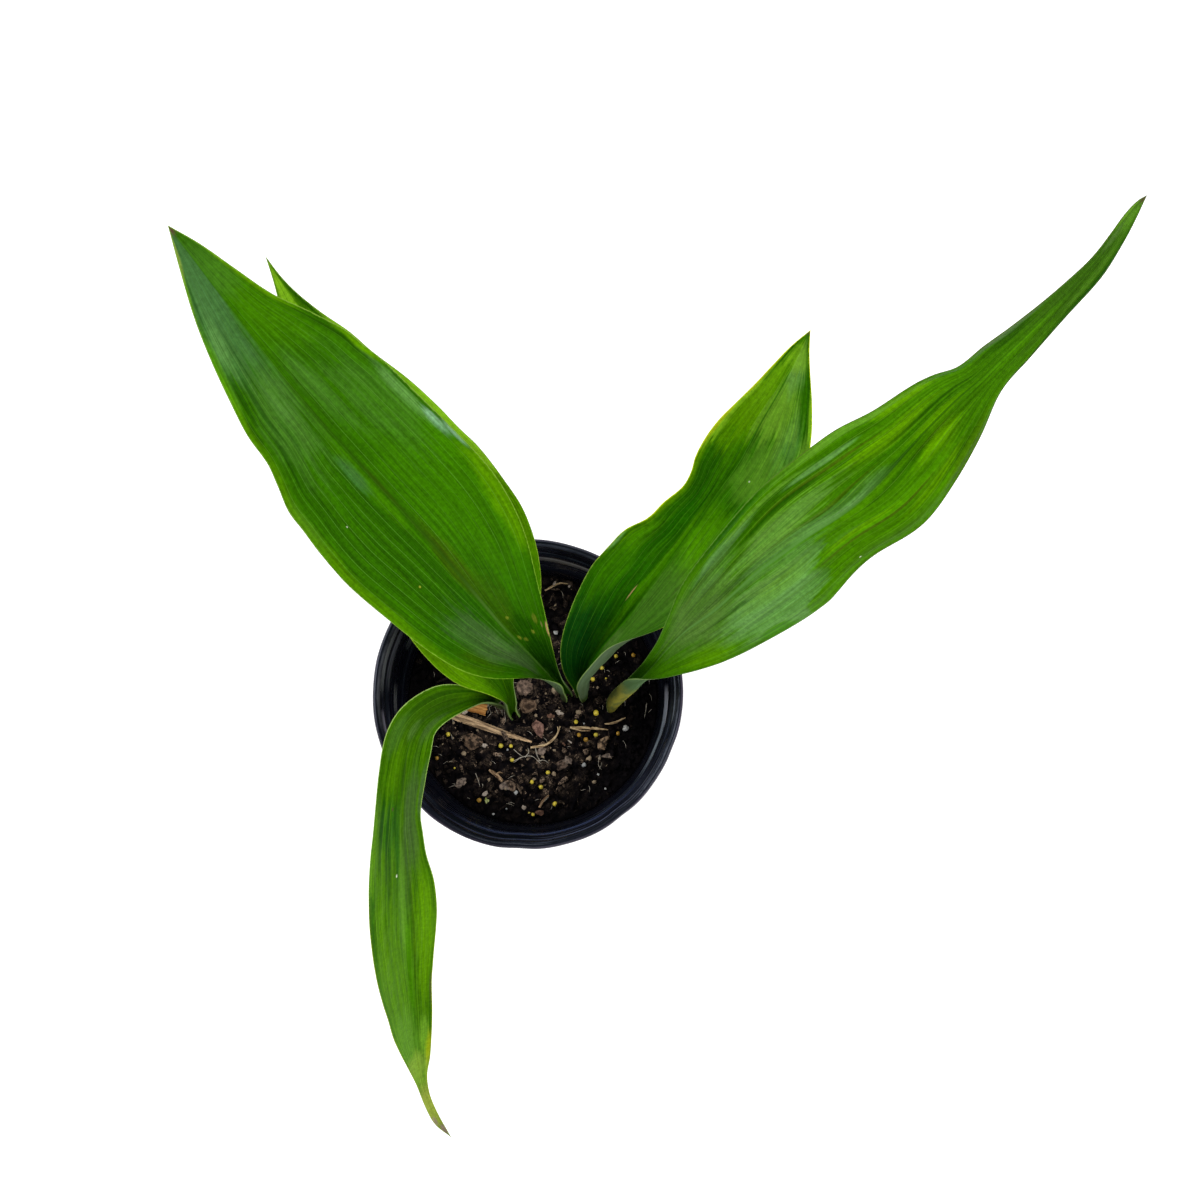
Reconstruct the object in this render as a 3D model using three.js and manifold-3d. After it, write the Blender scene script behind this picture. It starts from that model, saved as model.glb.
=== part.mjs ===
// A young cast iron plant: five leaves on a creeping rhizome, in a thin nursery pot of potting mix.
// Millimetres, +Z up. The origin is the centre of the pot's underside, on the surface it stands on.

import * as THREE from "three";
import { mergeVertices } from "three/addons/utils/BufferGeometryUtils.js";
import Module from "manifold-3d";

const manifold = await Module();
manifold.setup();

// Clearance left between pieces that touch.
const GAP = 0.3;

// The pot.
const POT_HEIGHT = 165;
const RIM_RADIUS = 82.5;
const BASE_RADIUS = 64;
const WALL = 1.5;
const FLOOR = 1.8;
const WALL_SLOPE = 0.079;
const LOWER_STEP_HEIGHT = 124;
const UPPER_STEP_HEIGHT = 150;
const STEP_OUT = 1.9;
const FLOOR_CHANNEL_RISE = 3;
const POT_SIDES = 40;
const DRAIN_HOLES = 8;
const DRAIN_HOLE = { width: 13, height: 6, depth: 8, centreHeight: 8 };

// The potting mix and the rhizome that creeps in it.
const MIX_HEIGHT = 115;
const MIX_RELIEF = 0.7;
const MIX_SIDES = 32;
const RHIZOME_RADIUS = 5.2;
const RHIZOME_HEIGHT = 103;
const RHIZOME_RINGS = 10;
const RHIZOME_SIDES = 8;
const PETIOLE_FOOT = RHIZOME_HEIGHT + RHIZOME_RADIUS * Math.cos(Math.PI / RHIZOME_SIDES) + GAP;
const PETIOLE_HOLE_RADIUS = 6;

// Leaf tissue.
const BLADE_THICKNESS = 0.8;
const KEEL_THICKNESS = [[0, 2.6], [0.15, 2.4], [0.3, 1.7], [1, 0.9]];
// Waves and pleats: the shares of a leaf's length over which they rise and fade at the tip, where the
// waves start, how far the right margin's wave runs ahead, and the half width that shows them in full.
const RELIEF_RISE = 0.15;
const RELIEF_FALL = 0.1;
const WAVE_START = 0.25;
const RIGHT_WAVE_SHIFT = 0.35;
const FULL_RELIEF_WIDTH = 20;

const degrees = THREE.MathUtils.degToRad;

const finish = {
  pot: { color: 0x1d1f28, roughness: 0.35 },
  mix: { color: 0x1e1713, roughness: 0.95 },
  rhizome: { color: 0x8a7350, roughness: 0.8 },
  broad: { color: 0x2f8a1c, roughness: 0.4 },
  under: { color: 0x4c9c20, roughness: 0.42 },
  middle: { color: 0x27781a, roughness: 0.4 },
  long: { color: 0x3c9426, roughness: 0.38 },
  drooping: { color: 0x3f8f1f, roughness: 0.4 },
  bark: { color: 0x5b4537, roughness: 0.9 },
  dryLeaf: { color: 0x9a7a52, roughness: 0.85 },
  straw: { color: 0xa9854f, roughness: 0.85 },
};

function named(name, geometry, look) {
  const mesh = new THREE.Mesh(geometry, new THREE.MeshStandardMaterial({ metalness: 0, ...look }));
  mesh.name = name;
  return mesh;
}

// A closed geometry as a solid that can be joined and cut. Its faces are turned outward if need be.
function solidOf(geometry) {
  const bare = (geometry.index ? geometry.toNonIndexed() : geometry.clone());
  bare.deleteAttribute("normal");
  bare.deleteAttribute("uv");
  const merged = mergeVertices(bare, 1e-3);
  const corners = Uint32Array.from(merged.index.array);
  const make = () => new manifold.Manifold(new manifold.Mesh({
    numProp: 3,
    vertProperties: merged.attributes.position.array,
    triVerts: corners,
  }));
  const solid = make();
  if (solid.volume() > 0) return solid;
  for (let i = 0; i < corners.length; i += 3) {
    [corners[i + 1], corners[i + 2]] = [corners[i + 2], corners[i + 1]];
  }
  return make();
}

function geometryOf(solid) {
  const mesh = solid.getMesh();
  const geometry = new THREE.BufferGeometry();
  geometry.setAttribute("position", new THREE.BufferAttribute(mesh.vertProperties, 3));
  geometry.setIndex(new THREE.BufferAttribute(mesh.triVerts, 1));
  return geometry;
}

// Turns a list of [radius, height] points about the Z axis.
function turned(profile, sides) {
  const points = profile.map(([radius, height]) => new THREE.Vector2(radius, height));
  return new THREE.LatheGeometry(points, sides).rotateX(Math.PI / 2);
}

// A value along a leaf: a smooth curve through [share of the length, value] knots.
function along(knots, share) {
  const last = knots.length - 1;
  let i = 0;
  while (i < last - 1 && share > knots[i + 1][0]) i += 1;
  const slope = (k) => {
    const [before, after] = [knots[Math.max(k - 1, 0)], knots[Math.min(k + 1, last)]];
    return (after[1] - before[1]) / (after[0] - before[0]);
  };
  const [from, to] = [knots[i], knots[i + 1]];
  const step = to[0] - from[0];
  const u = THREE.MathUtils.clamp((share - from[0]) / step, 0, 1);
  return from[1] * (2 * u ** 3 - 3 * u ** 2 + 1)
    + step * slope(i) * (u ** 3 - 2 * u ** 2 + u)
    + to[1] * (3 * u ** 2 - 2 * u ** 3)
    + step * slope(i + 1) * (u ** 3 - u ** 2);
}

// The pot: a shell with a raised ring under its floor, two steps in its wall and a rolled rim.
function potSolid() {
  const outer = (height) => BASE_RADIUS + WALL_SLOPE * height;
  const lower = outer(LOWER_STEP_HEIGHT);
  const band = lower + STEP_OUT;
  const upper = band + WALL_SLOPE * (UPPER_STEP_HEIGHT - LOWER_STEP_HEIGHT);
  const neck = upper + STEP_OUT;
  const lip = POT_HEIGHT - 4;
  const foot = BASE_RADIUS - 1.5;
  const rise = FLOOR_CHANNEL_RISE;
  const profile = [
    [0, 0], [26, 0], [26 + rise, rise], [foot - 5 - rise, rise], [foot - 5, 0], [foot, 0],
    [BASE_RADIUS, 1.5], [lower, LOWER_STEP_HEIGHT], [band, LOWER_STEP_HEIGHT + 2],
    [upper, UPPER_STEP_HEIGHT], [neck, UPPER_STEP_HEIGHT + 2], [neck + 0.6, lip],
    [RIM_RADIUS - 0.7, lip], [RIM_RADIUS, lip + 0.9], [RIM_RADIUS, POT_HEIGHT - 1.1],
    [RIM_RADIUS - 0.9, POT_HEIGHT], [RIM_RADIUS - 3.2, POT_HEIGHT], [RIM_RADIUS - 4.1, POT_HEIGHT - 1],
    [neck + 0.5 - WALL, lip], [neck - WALL, UPPER_STEP_HEIGHT + 2.8],
    [upper - WALL, UPPER_STEP_HEIGHT + 0.8], [band - WALL, LOWER_STEP_HEIGHT + 2.8],
    [lower - WALL, LOWER_STEP_HEIGHT + 0.8], [outer(FLOOR + 2) - WALL, FLOOR + 2],
    [foot - 1, FLOOR], [foot - 4.5, FLOOR], [foot - 4.5 - rise, FLOOR + rise],
    [25.5 + rise, FLOOR + rise], [25.5, FLOOR], [0, FLOOR],
  ];
  let shell = solidOf(turned(profile, POT_SIDES));
  for (let i = 0; i < DRAIN_HOLES; i += 1) {
    const { width, height, depth, centreHeight } = DRAIN_HOLE;
    const hole = new THREE.BoxGeometry(depth, width, height)
      .translate(outer(centreHeight) - WALL / 2, 0, centreHeight)
      .rotateZ(((i + 0.5) / DRAIN_HOLES) * 2 * Math.PI);
    shell = shell.subtract(solidOf(hole));
  }
  return shell;
}

// The surface of the mix: low waves that die away at the wall.
function mixSurface(x, y) {
  const wave = Math.sin(x / 7 + 1) * Math.cos(y / 9) + 0.6 * Math.sin((x + y) / 5 + 2);
  const fade = 1 - (Math.hypot(x, y) / (BASE_RADIUS + 8)) ** 4;
  return MIX_HEIGHT + MIX_RELIEF * wave * Math.max(fade, 0);
}

function mixBody() {
  const floor = FLOOR + FLOOR_CHANNEL_RISE + GAP;
  const wall = (height) => BASE_RADIUS + WALL_SLOPE * height - WALL - GAP;
  const rings = [0, 12, 24, 36, 48, 60];
  const top = rings.map((radius) => [radius, MIX_HEIGHT]).reverse();
  const profile = [[0, floor], [wall(floor), floor], [wall(MIX_HEIGHT), MIX_HEIGHT], ...top];
  const geometry = turned(profile, MIX_SIDES);
  const place = geometry.attributes.position;
  for (let i = 0; i < place.count; i += 1) {
    if (place.getZ(i) > MIX_HEIGHT - 1) place.setZ(i, mixSurface(place.getX(i), place.getY(i)));
  }
  return solidOf(geometry);
}

// A tube with rings of growth along it, between two blunt ends.
function rhizomeSolid(grow = 0) {
  const route = new THREE.CatmullRomCurve3([
    [-29, 1], [-19, -4], [-11, -9], [3, -6], [18, 1], [29, 1.5], [45, -5.5], [54, -10],
  ].map(([x, y]) => new THREE.Vector3(x, y, RHIZOME_HEIGHT)));
  const steps = grow > 0 ? 14 : 3 * RHIZOME_RINGS;
  const sides = RHIZOME_SIDES;
  const stations = route.getSpacedPoints(steps);
  const vertices = [];
  const faces = [];
  stations.forEach((centre, i) => {
    const share = i / steps;
    const forward = route.getTangentAt(share);
    const side = new THREE.Vector3(-forward.y, forward.x, 0).normalize();
    const ring = grow > 0 ? 0 : 0.35 * Math.cos(2 * Math.PI * RHIZOME_RINGS * share) - 0.35;
    const blunt = 0.7 + 0.3 * Math.min(1, 8 * share, 8 * (1 - share));
    const radius = (RHIZOME_RADIUS + ring) * blunt + grow;
    const centreBack = centre.clone().addScaledVector(forward, i === 0 ? -grow : i === steps ? grow : 0);
    for (let j = 0; j < sides; j += 1) {
      const turn = ((j + 0.5) / sides) * 2 * Math.PI;
      const rim = centreBack.clone().addScaledVector(side, radius * Math.cos(turn));
      vertices.push(rim.x, rim.y, rim.z + radius * Math.sin(turn));
      if (i < steps) {
        const [a, b] = [i * sides + j, i * sides + ((j + 1) % sides)];
        faces.push(a, b, b + sides, a, b + sides, a + sides);
      }
    }
  });
  for (let j = 1; j < sides - 1; j += 1) {
    faces.push(0, j + 1, j);
    faces.push(steps * sides, steps * sides + j, steps * sides + j + 1);
  }
  const geometry = new THREE.BufferGeometry();
  geometry.setAttribute("position", new THREE.Float32BufferAttribute(vertices, 3));
  geometry.setIndex(faces);
  return solidOf(geometry);
}

// The five leaves. spine is the midrib from the petiole's foot to the tip. leftHeading is the compass
// direction of the left side at the foot, in degrees from +X. The other lists are [share of the length,
// value] knots: half widths in mm, measured round the section, and for each half the angle at which it
// leaves the midrib (fold) and how far it turns on the way to the margin (curl), in degrees.
const LEAVES = {
  leaf_broad: {
    look: finish.broad,
    spine: [[18, 1.5, PETIOLE_FOOT], [17.5, 3, 140], [11, 8, 184], [-17, 36, 244], [-46, 67, 298],
      [-82, 105, 358], [-112, 144, 396]],
    leftHeading: 223,
    waves: { height: 1.6, count: 3, phase: 0.1 },
    left: {
      width: [[0, 5], [0.12, 5.5], [0.16, 7], [0.2, 11], [0.24, 16], [0.3, 22], [0.36, 30],
        [0.42, 34], [0.5, 36.8], [0.58, 38.6], [0.64, 37.3], [0.68, 35.4], [0.71, 34], [0.74, 30],
        [0.765, 26.9], [0.8, 25.2], [0.84, 21.2], [0.88, 17], [0.92, 12.3], [0.96, 6.4], [1, 0]],
      fold: [[0, 10], [0.12, 20], [0.2, 35], [0.28, 35], [0.4, 12], [1, 12]],
      curl: [[0, 110], [0.12, 120], [0.2, 120], [0.28, 80], [0.4, 25], [0.6, 0], [1, 0]],
    },
    right: {
      width: [[0, 5], [0.12, 5.5], [0.16, 6], [0.2, 7.5], [0.26, 13], [0.32, 19], [0.4, 28],
        [0.48, 36.5], [0.56, 40], [0.64, 38.3], [0.72, 35.5], [0.76, 33.8], [0.79, 31.4],
        [0.82, 28.9], [0.86, 22.4], [0.895, 15.4], [0.935, 9.9], [0.97, 5.2], [1, 0]],
      fold: [[0, 10], [0.17, 20], [0.24, 30], [0.32, 20], [0.45, 12], [1, 12]],
      curl: [[0, 110], [0.17, 90], [0.24, 60], [0.32, 45], [0.45, 15], [0.7, -25], [1, 0]],
    },
  },
  leaf_under: {
    look: finish.under,
    spine: [[-11, -9, PETIOLE_FOOT], [-11.5, -6, 140], [-12, 4, 174], [-32, 50, 220],
      [-63, 102, 264], [-90, 146, 297], [-103, 172, 315]],
    leftHeading: 205,
    waves: { height: 1.6, count: 3, phase: 0.35 },
    left: {
      width: [[0, 5], [0.15, 5.5], [0.19, 6.5], [0.23, 12], [0.28, 23], [0.34, 30], [0.42, 34],
        [0.5, 34], [0.6, 31], [0.7, 25], [0.8, 17], [0.88, 9], [0.92, 5.2], [0.96, 2.1], [1, 0]],
      fold: [[0, 10], [0.2, 15], [0.3, 10], [1, 10]],
      curl: [[0, 110], [0.17, 90], [0.24, 30], [0.5, 0], [1, 0]],
    },
    right: {
      width: [[0, 5], [0.15, 5.5], [0.2, 6], [0.24, 8.5], [0.29, 18], [0.36, 34], [0.42, 41],
        [0.5, 44.8], [0.56, 43.5], [0.62, 40.9], [0.66, 37.4], [0.7, 34.4], [0.76, 28.6],
        [0.82, 21], [0.86, 16.8], [0.9, 10.6], [0.94, 5], [0.97, 1.8], [1, 0]],
      fold: [[0, 10], [0.2, 15], [0.3, 10], [1, 10]],
      curl: [[0, 110], [0.2, 90], [0.28, 40], [0.5, 0], [1, 0]],
    },
  },
  leaf_middle: {
    look: finish.middle,
    spine: [[29, 1.5, PETIOLE_FOOT], [30, 4, 148], [35, 16, 184], [61, 44, 213], [93, 86, 241],
      [117, 123, 273], [131, 149, 291]],
    leftHeading: 140,
    roll: [[0, 0], [0.12, -5], [0.22, -12], [0.35, -12], [0.45, -8], [0.6, 0], [1, 0]],
    waves: { height: 1.5, count: 3, phase: 0.6 },
    left: {
      width: [[0, 5], [0.1, 5.5], [0.16, 7.5], [0.21, 11], [0.26, 15.5], [0.32, 22], [0.38, 27.5],
        [0.44, 30], [0.5, 28.4], [0.54, 26.4], [0.58, 20.9], [0.62, 18.9], [0.66, 15.8],
        [0.69, 16.2], [0.72, 18.4], [0.76, 18.8], [0.8, 17.4], [0.84, 14.4], [0.88, 11.2],
        [0.92, 8.3], [0.96, 4.9], [1, 0]],
      fold: [[0, 15], [0.15, 35], [0.3, 30], [0.45, 20], [0.6, 10], [1, 10]],
      curl: [[0, 110], [0.14, 80], [0.2, 50], [0.3, 15], [0.5, 5], [1, 0]],
    },
    right: {
      width: [[0, 5], [0.1, 6], [0.16, 8.5], [0.22, 13], [0.28, 18.5], [0.34, 23.5], [0.4, 27],
        [0.46, 29], [0.52, 30.5], [0.6, 31.5], [0.68, 32], [0.76, 31], [0.82, 27.7], [0.86, 22.8],
        [0.9, 15.9], [0.94, 8.7], [0.97, 3.9], [1, 0]],
      fold: [[0, 15], [0.12, 20], [0.2, 5], [0.3, 5], [0.38, 15], [0.46, 15], [0.6, 5], [1, 5]],
      curl: [[0, 100], [0.12, 110], [0.2, 125], [0.3, 120], [0.38, 98], [0.46, 55], [0.55, 15],
        [0.65, 0], [1, 0]],
    },
  },
  leaf_long: {
    look: finish.long,
    spine: [[45, -5.5, PETIOLE_FOOT], [50, -1.5, 140], [62, 6, 207], [79, 22, 252], [112, 47, 311],
      [147, 67, 341], [187, 104, 348], [236, 155, 333], [271, 199, 316]],
    leftHeading: 130,
    waves: { height: 1.4, count: 3.5, phase: 0.2 },
    pleats: { depth: 2.2, count: 3, from: 0.28 },
    left: {
      width: [[0, 5], [0.03, 4.5], [0.2, 5], [0.28, 6.5], [0.32, 10], [0.38, 17], [0.46, 21.5],
        [0.54, 25.9], [0.59, 26.8], [0.63, 22.9], [0.67, 19.7], [0.69, 16.8], [0.71, 12.4],
        [0.74, 11], [0.77, 9], [0.81, 6.8], [0.85, 5.1], [0.89, 3.7], [0.93, 3.5], [0.96, 3.3],
        [0.985, 2], [1, 0]],
      fold: [[0, 10], [0.15, 5], [0.25, 15], [0.4, 12], [0.7, 5], [1, 10]],
      curl: [[0, 90], [0.04, 35], [0.2, 35], [0.3, 30], [0.4, 10], [0.7, -20], [1, 10]],
    },
    right: {
      width: [[0, 5], [0.02, 6], [0.06, 9.5], [0.12, 11], [0.2, 11], [0.25, 11], [0.28, 14],
        [0.3, 16.8], [0.34, 22.3], [0.38, 26], [0.44, 29.7], [0.48, 30.3], [0.5, 29], [0.54, 24.4],
        [0.56, 23.2], [0.6, 23.7], [0.64, 19.2], [0.68, 13.2], [0.72, 6.2], [0.76, 5], [0.82, 4.2],
        [0.88, 4.5], [0.92, 3.4], [0.96, 2], [1, 0]],
      fold: [[0, 15], [0.05, 40], [0.18, 40], [0.25, 15], [0.35, 0], [0.6, -5], [1, 10]],
      curl: [[0, 100], [0.05, 170], [0.15, 180], [0.22, 150], [0.27, 60], [0.35, 0], [0.6, -15],
        [1, 10]],
    },
  },
  leaf_drooping: {
    look: finish.drooping,
    spine: [[-19, -4, PETIOLE_FOOT], [-21, -3, 138], [-31, -5, 172], [-53, -21, 192],
      [-61, -56, 186], [-65, -108, 152], [-67, -179, 104], [-64.2, -217, 80], [-58.9, -237.5, 69],
      [-49, -254, 58]],
    leftHeading: -100,
    waves: { height: 1.2, count: 4, phase: 0.3 },
    left: {
      width: [[0, 4.5], [0.15, 5.5], [0.2, 6], [0.24, 7.5], [0.29, 11.8], [0.34, 12.2],
        [0.4, 11.2], [0.43, 12.3], [0.47, 13.8], [0.52, 17.8], [0.57, 19.6], [0.61, 18.8],
        [0.66, 15.8], [0.7, 13.5], [0.76, 12.2], [0.8, 10.8], [0.84, 8.2], [0.87, 4.4], [0.9, 3],
        [0.95, 2.6], [1, 0]],
      fold: [[0, 10], [0.15, 20], [0.25, 15], [0.4, 5], [0.6, 12], [0.9, 15], [1, 25]],
      curl: [[0, 110], [0.15, 90], [0.25, 20], [0.4, 10], [0.6, 0], [0.9, 20], [1, 50]],
    },
    right: {
      width: [[0, 4.5], [0.15, 5.5], [0.18, 8.5], [0.215, 12.3], [0.25, 13.5], [0.29, 16],
        [0.33, 17.8], [0.38, 20.2], [0.42, 22.8], [0.46, 23.9], [0.5, 24.1], [0.56, 24.5],
        [0.6, 24.7], [0.64, 23.7], [0.68, 21.2], [0.72, 17.8], [0.76, 15.1], [0.8, 11.4],
        [0.84, 7.6], [0.88, 4.4], [0.92, 3], [0.96, 3], [1, 0]],
      fold: [[0, 10], [0.15, 15], [0.2, -5], [0.26, -8], [0.32, 2], [0.4, 5], [0.6, 12], [0.9, 15],
        [1, 25]],
      curl: [[0, 110], [0.14, 90], [0.19, 30], [0.24, -8], [0.32, 5], [0.4, 10], [0.6, 0],
        [0.9, 20], [1, 50]],
    },
  },
};

// Where one half of a section has come to, a given share of the way from midrib to margin.
function sectionPoint(half, share, station) {
  const width = along(half.width, station);
  const fold = degrees(along(half.fold, station));
  const curl = degrees(along(half.curl, station)) || 1e-4;
  const end = fold + curl * share;
  return {
    out: (width * (Math.sin(end) - Math.sin(fold))) / curl,
    up: (width * (Math.cos(fold) - Math.cos(end))) / curl,
    tilt: share > 0 ? end : 0,
    width,
  };
}

// A leaf: sections across its midrib, each with an upper and a lower face, from the foot to the tip.
// Both faces are split into triangles alike.
function leafGeometry(leaf) {
  const stations = leaf.pleats ? 34 : 30;
  const half = leaf.pleats ? 9 : 5;
  const row = 2 * half + 1;
  const points = leaf.spine.map((point) => new THREE.Vector3(...point));
  const spine = new THREE.CatmullRomCurve3(points, false, "catmullrom", 0.5).getSpacedPoints(stations);
  const heading = degrees(leaf.leftHeading);
  let left = new THREE.Vector3(Math.cos(heading), Math.sin(heading), 0);
  const upper = [];
  const lower = [];
  for (let i = 0; i < stations; i += 1) {
    const station = i / stations;
    const forward = spine[i + 1].clone().sub(spine[Math.max(i - 1, 0)]).normalize();
    left = left.clone().addScaledVector(forward, -left.dot(forward)).normalize();
    const roll = degrees(along(leaf.roll ?? [[0, 0], [1, 0]], station));
    const across = left.clone().applyAxisAngle(forward, roll);
    const up = forward.clone().cross(across);
    const keel = along(KEEL_THICKNESS, station);
    for (let j = -half; j <= half; j += 1) {
      const side = j < 0 ? leaf.left : leaf.right;
      const share = Math.abs(j) / half;
      const { out, up: lift, tilt, width } = sectionPoint(side, share, station);
      const toward = j < 0 ? 1 : -1;
      const pleat = leaf.pleats ? pleatHeight(leaf.pleats, station, share, width) : 0;
      const high = lift + pleat + waveHeight(leaf.waves, station, share, width, j);
      const thick = BLADE_THICKNESS + (keel - BLADE_THICKNESS) * (1 - share) ** 1.5;
      const place = (sideways, rise) => spine[i].clone()
        .addScaledVector(across, toward * sideways)
        .addScaledVector(up, rise);
      upper.push(place(out, high));
      lower.push(place(out + thick * Math.sin(tilt), high - thick * Math.cos(tilt)));
    }
  }
  const tip = spine[stations];
  upper.push(tip);
  lower.push(tip.clone().add(new THREE.Vector3(0, 0, -BLADE_THICKNESS)));
  const count = upper.length;
  const faces = [];
  const bothFaces = (a, b, c) => faces.push(a, b, c, count + a, count + c, count + b);
  for (let i = 0; i < stations - 1; i += 1) {
    for (let j = 0; j < row - 1; j += 1) {
      const a = i * row + j;
      bothFaces(a, a + row + 1, a + row);
      bothFaces(a, a + 1, a + row + 1);
    }
    edge(faces, i * row, (i + 1) * row, count);
    edge(faces, (i + 2) * row - 1, (i + 1) * row - 1, count);
  }
  const lastRow = (stations - 1) * row;
  for (let j = 0; j < row - 1; j += 1) {
    bothFaces(lastRow + j, lastRow + j + 1, count - 1);
    edge(faces, j + 1, j, count);
  }
  edge(faces, lastRow, count - 1, count);
  edge(faces, count - 1, lastRow + row - 1, count);
  const geometry = new THREE.BufferGeometry();
  const flat = [...upper, ...lower].flatMap((point) => point.toArray());
  geometry.setAttribute("position", new THREE.Float32BufferAttribute(flat, 3));
  geometry.setIndex(faces);
  return geometryOf(solidOf(geometry));
}

// The strip of edge between the upper and the lower face, from one upper point to the next.
function edge(faces, from, to, count) {
  faces.push(from, to, count + to, from, count + to, count + from);
}

// Pleats that run along the blade, and die away in the petiole, at the tip and where it is narrow.
function pleatHeight({ depth, count, from }, station, share, width) {
  return depth * Math.sin(Math.PI * count * share) ** 2 * relief(station, from, width);
}

// Waves of the margin, which die away toward the midrib, in the petiole and at the tip.
function waveHeight({ height, count, phase }, station, share, width, side) {
  const shift = phase + (side < 0 ? 0 : RIGHT_WAVE_SHIFT);
  const wave = Math.sin(2 * Math.PI * (count * station + shift));
  return height * share ** 2 * wave * relief(station, WAVE_START, width);
}

// How much of its full height a wave or a pleat has at a station: none before its start, none at the
// tip, and less where the half of the blade is narrow.
function relief(station, from, width) {
  const start = THREE.MathUtils.clamp((station - from) / RELIEF_RISE, 0, 1);
  const end = THREE.MathUtils.clamp((1 - station) / RELIEF_FALL, 0, 1);
  return start * end * Math.min(1, width / FULL_RELIEF_WIDTH);
}

// A chip of bark: a flattened pebble with a few bulges. Each row is where it lies, its length, width
// and height, and its heading in degrees.
const BARK_CHIPS = [
  [-4.6, 5.6, 12, 9, 5, 10],
  [-3.3, -4.9, 12, 9, 5, 165],
  [3.4, -17.5, 11, 7, 4, 110],
  [-35, -24.5, 13, 9, 4.5, 150],
  [40, -26.5, 9, 6, 4, 60],
  [15.7, -38.5, 8, 6, 4, 20],
  [-12, -50, 9, 6, 4, 140],
];

function barkChip([x, y, length, width, height, heading], grow) {
  const geometry = new THREE.IcosahedronGeometry(1, 1);
  const place = geometry.attributes.position;
  const point = new THREE.Vector3();
  for (let i = 0; i < place.count; i += 1) {
    point.fromBufferAttribute(place, i);
    const bulge = 1 + 0.16 * Math.sin(3 * Math.atan2(point.y, point.x) + x) + 0.1 * Math.sin(5 * point.z);
    point.multiplyScalar(bulge);
    place.setXYZ(i, point.x, point.y, point.z);
  }
  return geometry
    .scale(length / 2 + grow, width / 2 + grow, height / 2 + grow)
    .rotateZ(degrees(heading))
    .translate(x, y, MIX_HEIGHT + 0.2 * height);
}

// The long strip of a dead leaf: a tapering slab, bowed a little across the mix.
function dryStrip(grow) {
  const outline = new THREE.Shape();
  outline.moveTo(-25 - grow, -2.6 - grow);
  outline.quadraticCurveTo(0, -3.6 - grow, 25 + grow, -0.5 - grow);
  outline.lineTo(25 + grow, 0.5 + grow);
  outline.quadraticCurveTo(0, 1.6 + grow, -25 - grow, 2.4 + grow);
  outline.closePath();
  const thick = 1.2 + 2 * grow;
  return new THREE.ExtrudeGeometry(outline, { depth: thick, bevelEnabled: false, curveSegments: 6 })
    .rotateZ(degrees(-19))
    .translate(-24, -17.2, MIX_HEIGHT + 0.5 - grow);
}

// The dry sheath scrap beside it: a short curled tongue.
function drySheath(grow) {
  const outline = new THREE.Shape();
  outline.absarc(0, 0, 4.2 + grow, degrees(25), degrees(155), false);
  outline.absarc(0, 0, 3 - grow, degrees(155), degrees(25), true);
  outline.closePath();
  const long = 14 + 2 * grow;
  return new THREE.ExtrudeGeometry(outline, { depth: long, bevelEnabled: false, curveSegments: 6 })
    .translate(0, 0, -long / 2)
    .rotateX(Math.PI / 2)
    .rotateZ(degrees(76))
    .translate(-33, -5.6, MIX_HEIGHT - 1);
}

// A twig or straw: a six-sided tube along a few points on the mix.
function twig([radius, ...route], grow) {
  const path = new THREE.CatmullRomCurve3(
    route.map(([x, y, rise]) => new THREE.Vector3(x, y, MIX_HEIGHT + rise)),
  );
  const section = new THREE.Shape();
  for (let i = 0; i < 6; i += 1) {
    const turn = (i / 6) * 2 * Math.PI;
    const corner = [(radius + grow) * Math.cos(turn), (radius + grow) * Math.sin(turn)];
    if (i === 0) section.moveTo(...corner);
    else section.lineTo(...corner);
  }
  return new THREE.ExtrudeGeometry(section, { extrudePath: path, steps: 2 * route.length });
}

// Each row is a radius, then points as x, y and the rise over the mix.
const TWIGS = {
  twig_bent: [0.9, [-1, -28.5, 0.6], [7.7, -26.8, 1], [13.3, -22, 1], [15.6, -16.5, 0.8]],
  straw_right: [0.9, [21.3, -17.2, 0.8], [32, -17.4, 1], [43, -18.4, 0.7]],
  twig_front: [0.8, [4.2, -62, 0.6], [6.5, -58, 0.9], [9.6, -55, 0.7]],
  straw_back: [0.7, [6.4, 62, 0.5], [14, 66, 0.8], [20, 66, 0.5]],
  stick_front: [1.1, [-24.5, -41, 0.8], [-19, -45, 1.2], [-17, -47.5, 0.9]],
  sliver_right: [0.8, [41, -15.2, 0.9], [46.5, -14.4, 1.1], [53, -11.5, 0.8]],
};

// Prills of plant food in the surface of the mix: x, y and radius.
const PRILLS = [
  [36.1, -8.9, 1.7], [24.7, -14, 1.2], [48.6, -20.5, 1.2], [36.1, -21.3, 1.3], [26.4, -21.4, 1.2],
  [30.4, -24, 1.4], [-17.9, -27.4, 1.4], [-12.2, -27.6, 1.1], [-11.5, -35.5, 1.2], [8.9, -42.5, 1.2],
  [-0.1, -47.8, 1.2], [5, -50.6, 1.3], [13, -60, 1.4], [0.7, -66, 1.2], [-48.1, -21, 1.3],
  [-54.1, -34.4, 1.2], [47.6, 23.7, 1.2], [57.6, 24.3, 1.3], [39.5, 16.8, 1.2], [34.3, 10.4, 1.3],
  [52.9, -17.7, 1.8], [29.3, -38.3, 1.4], [-29.8, -58, 1.4], [-22, 38, 1.3], [10, 48, 1.2],
  [-40, 22, 1.3], [28, 44, 1.2], [-52, 6, 1.2],
];

function prill([x, y, radius]) {
  return new THREE.OctahedronGeometry(radius).translate(x, y, mixSurface(x, y) + 0.25 * radius);
}

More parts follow.
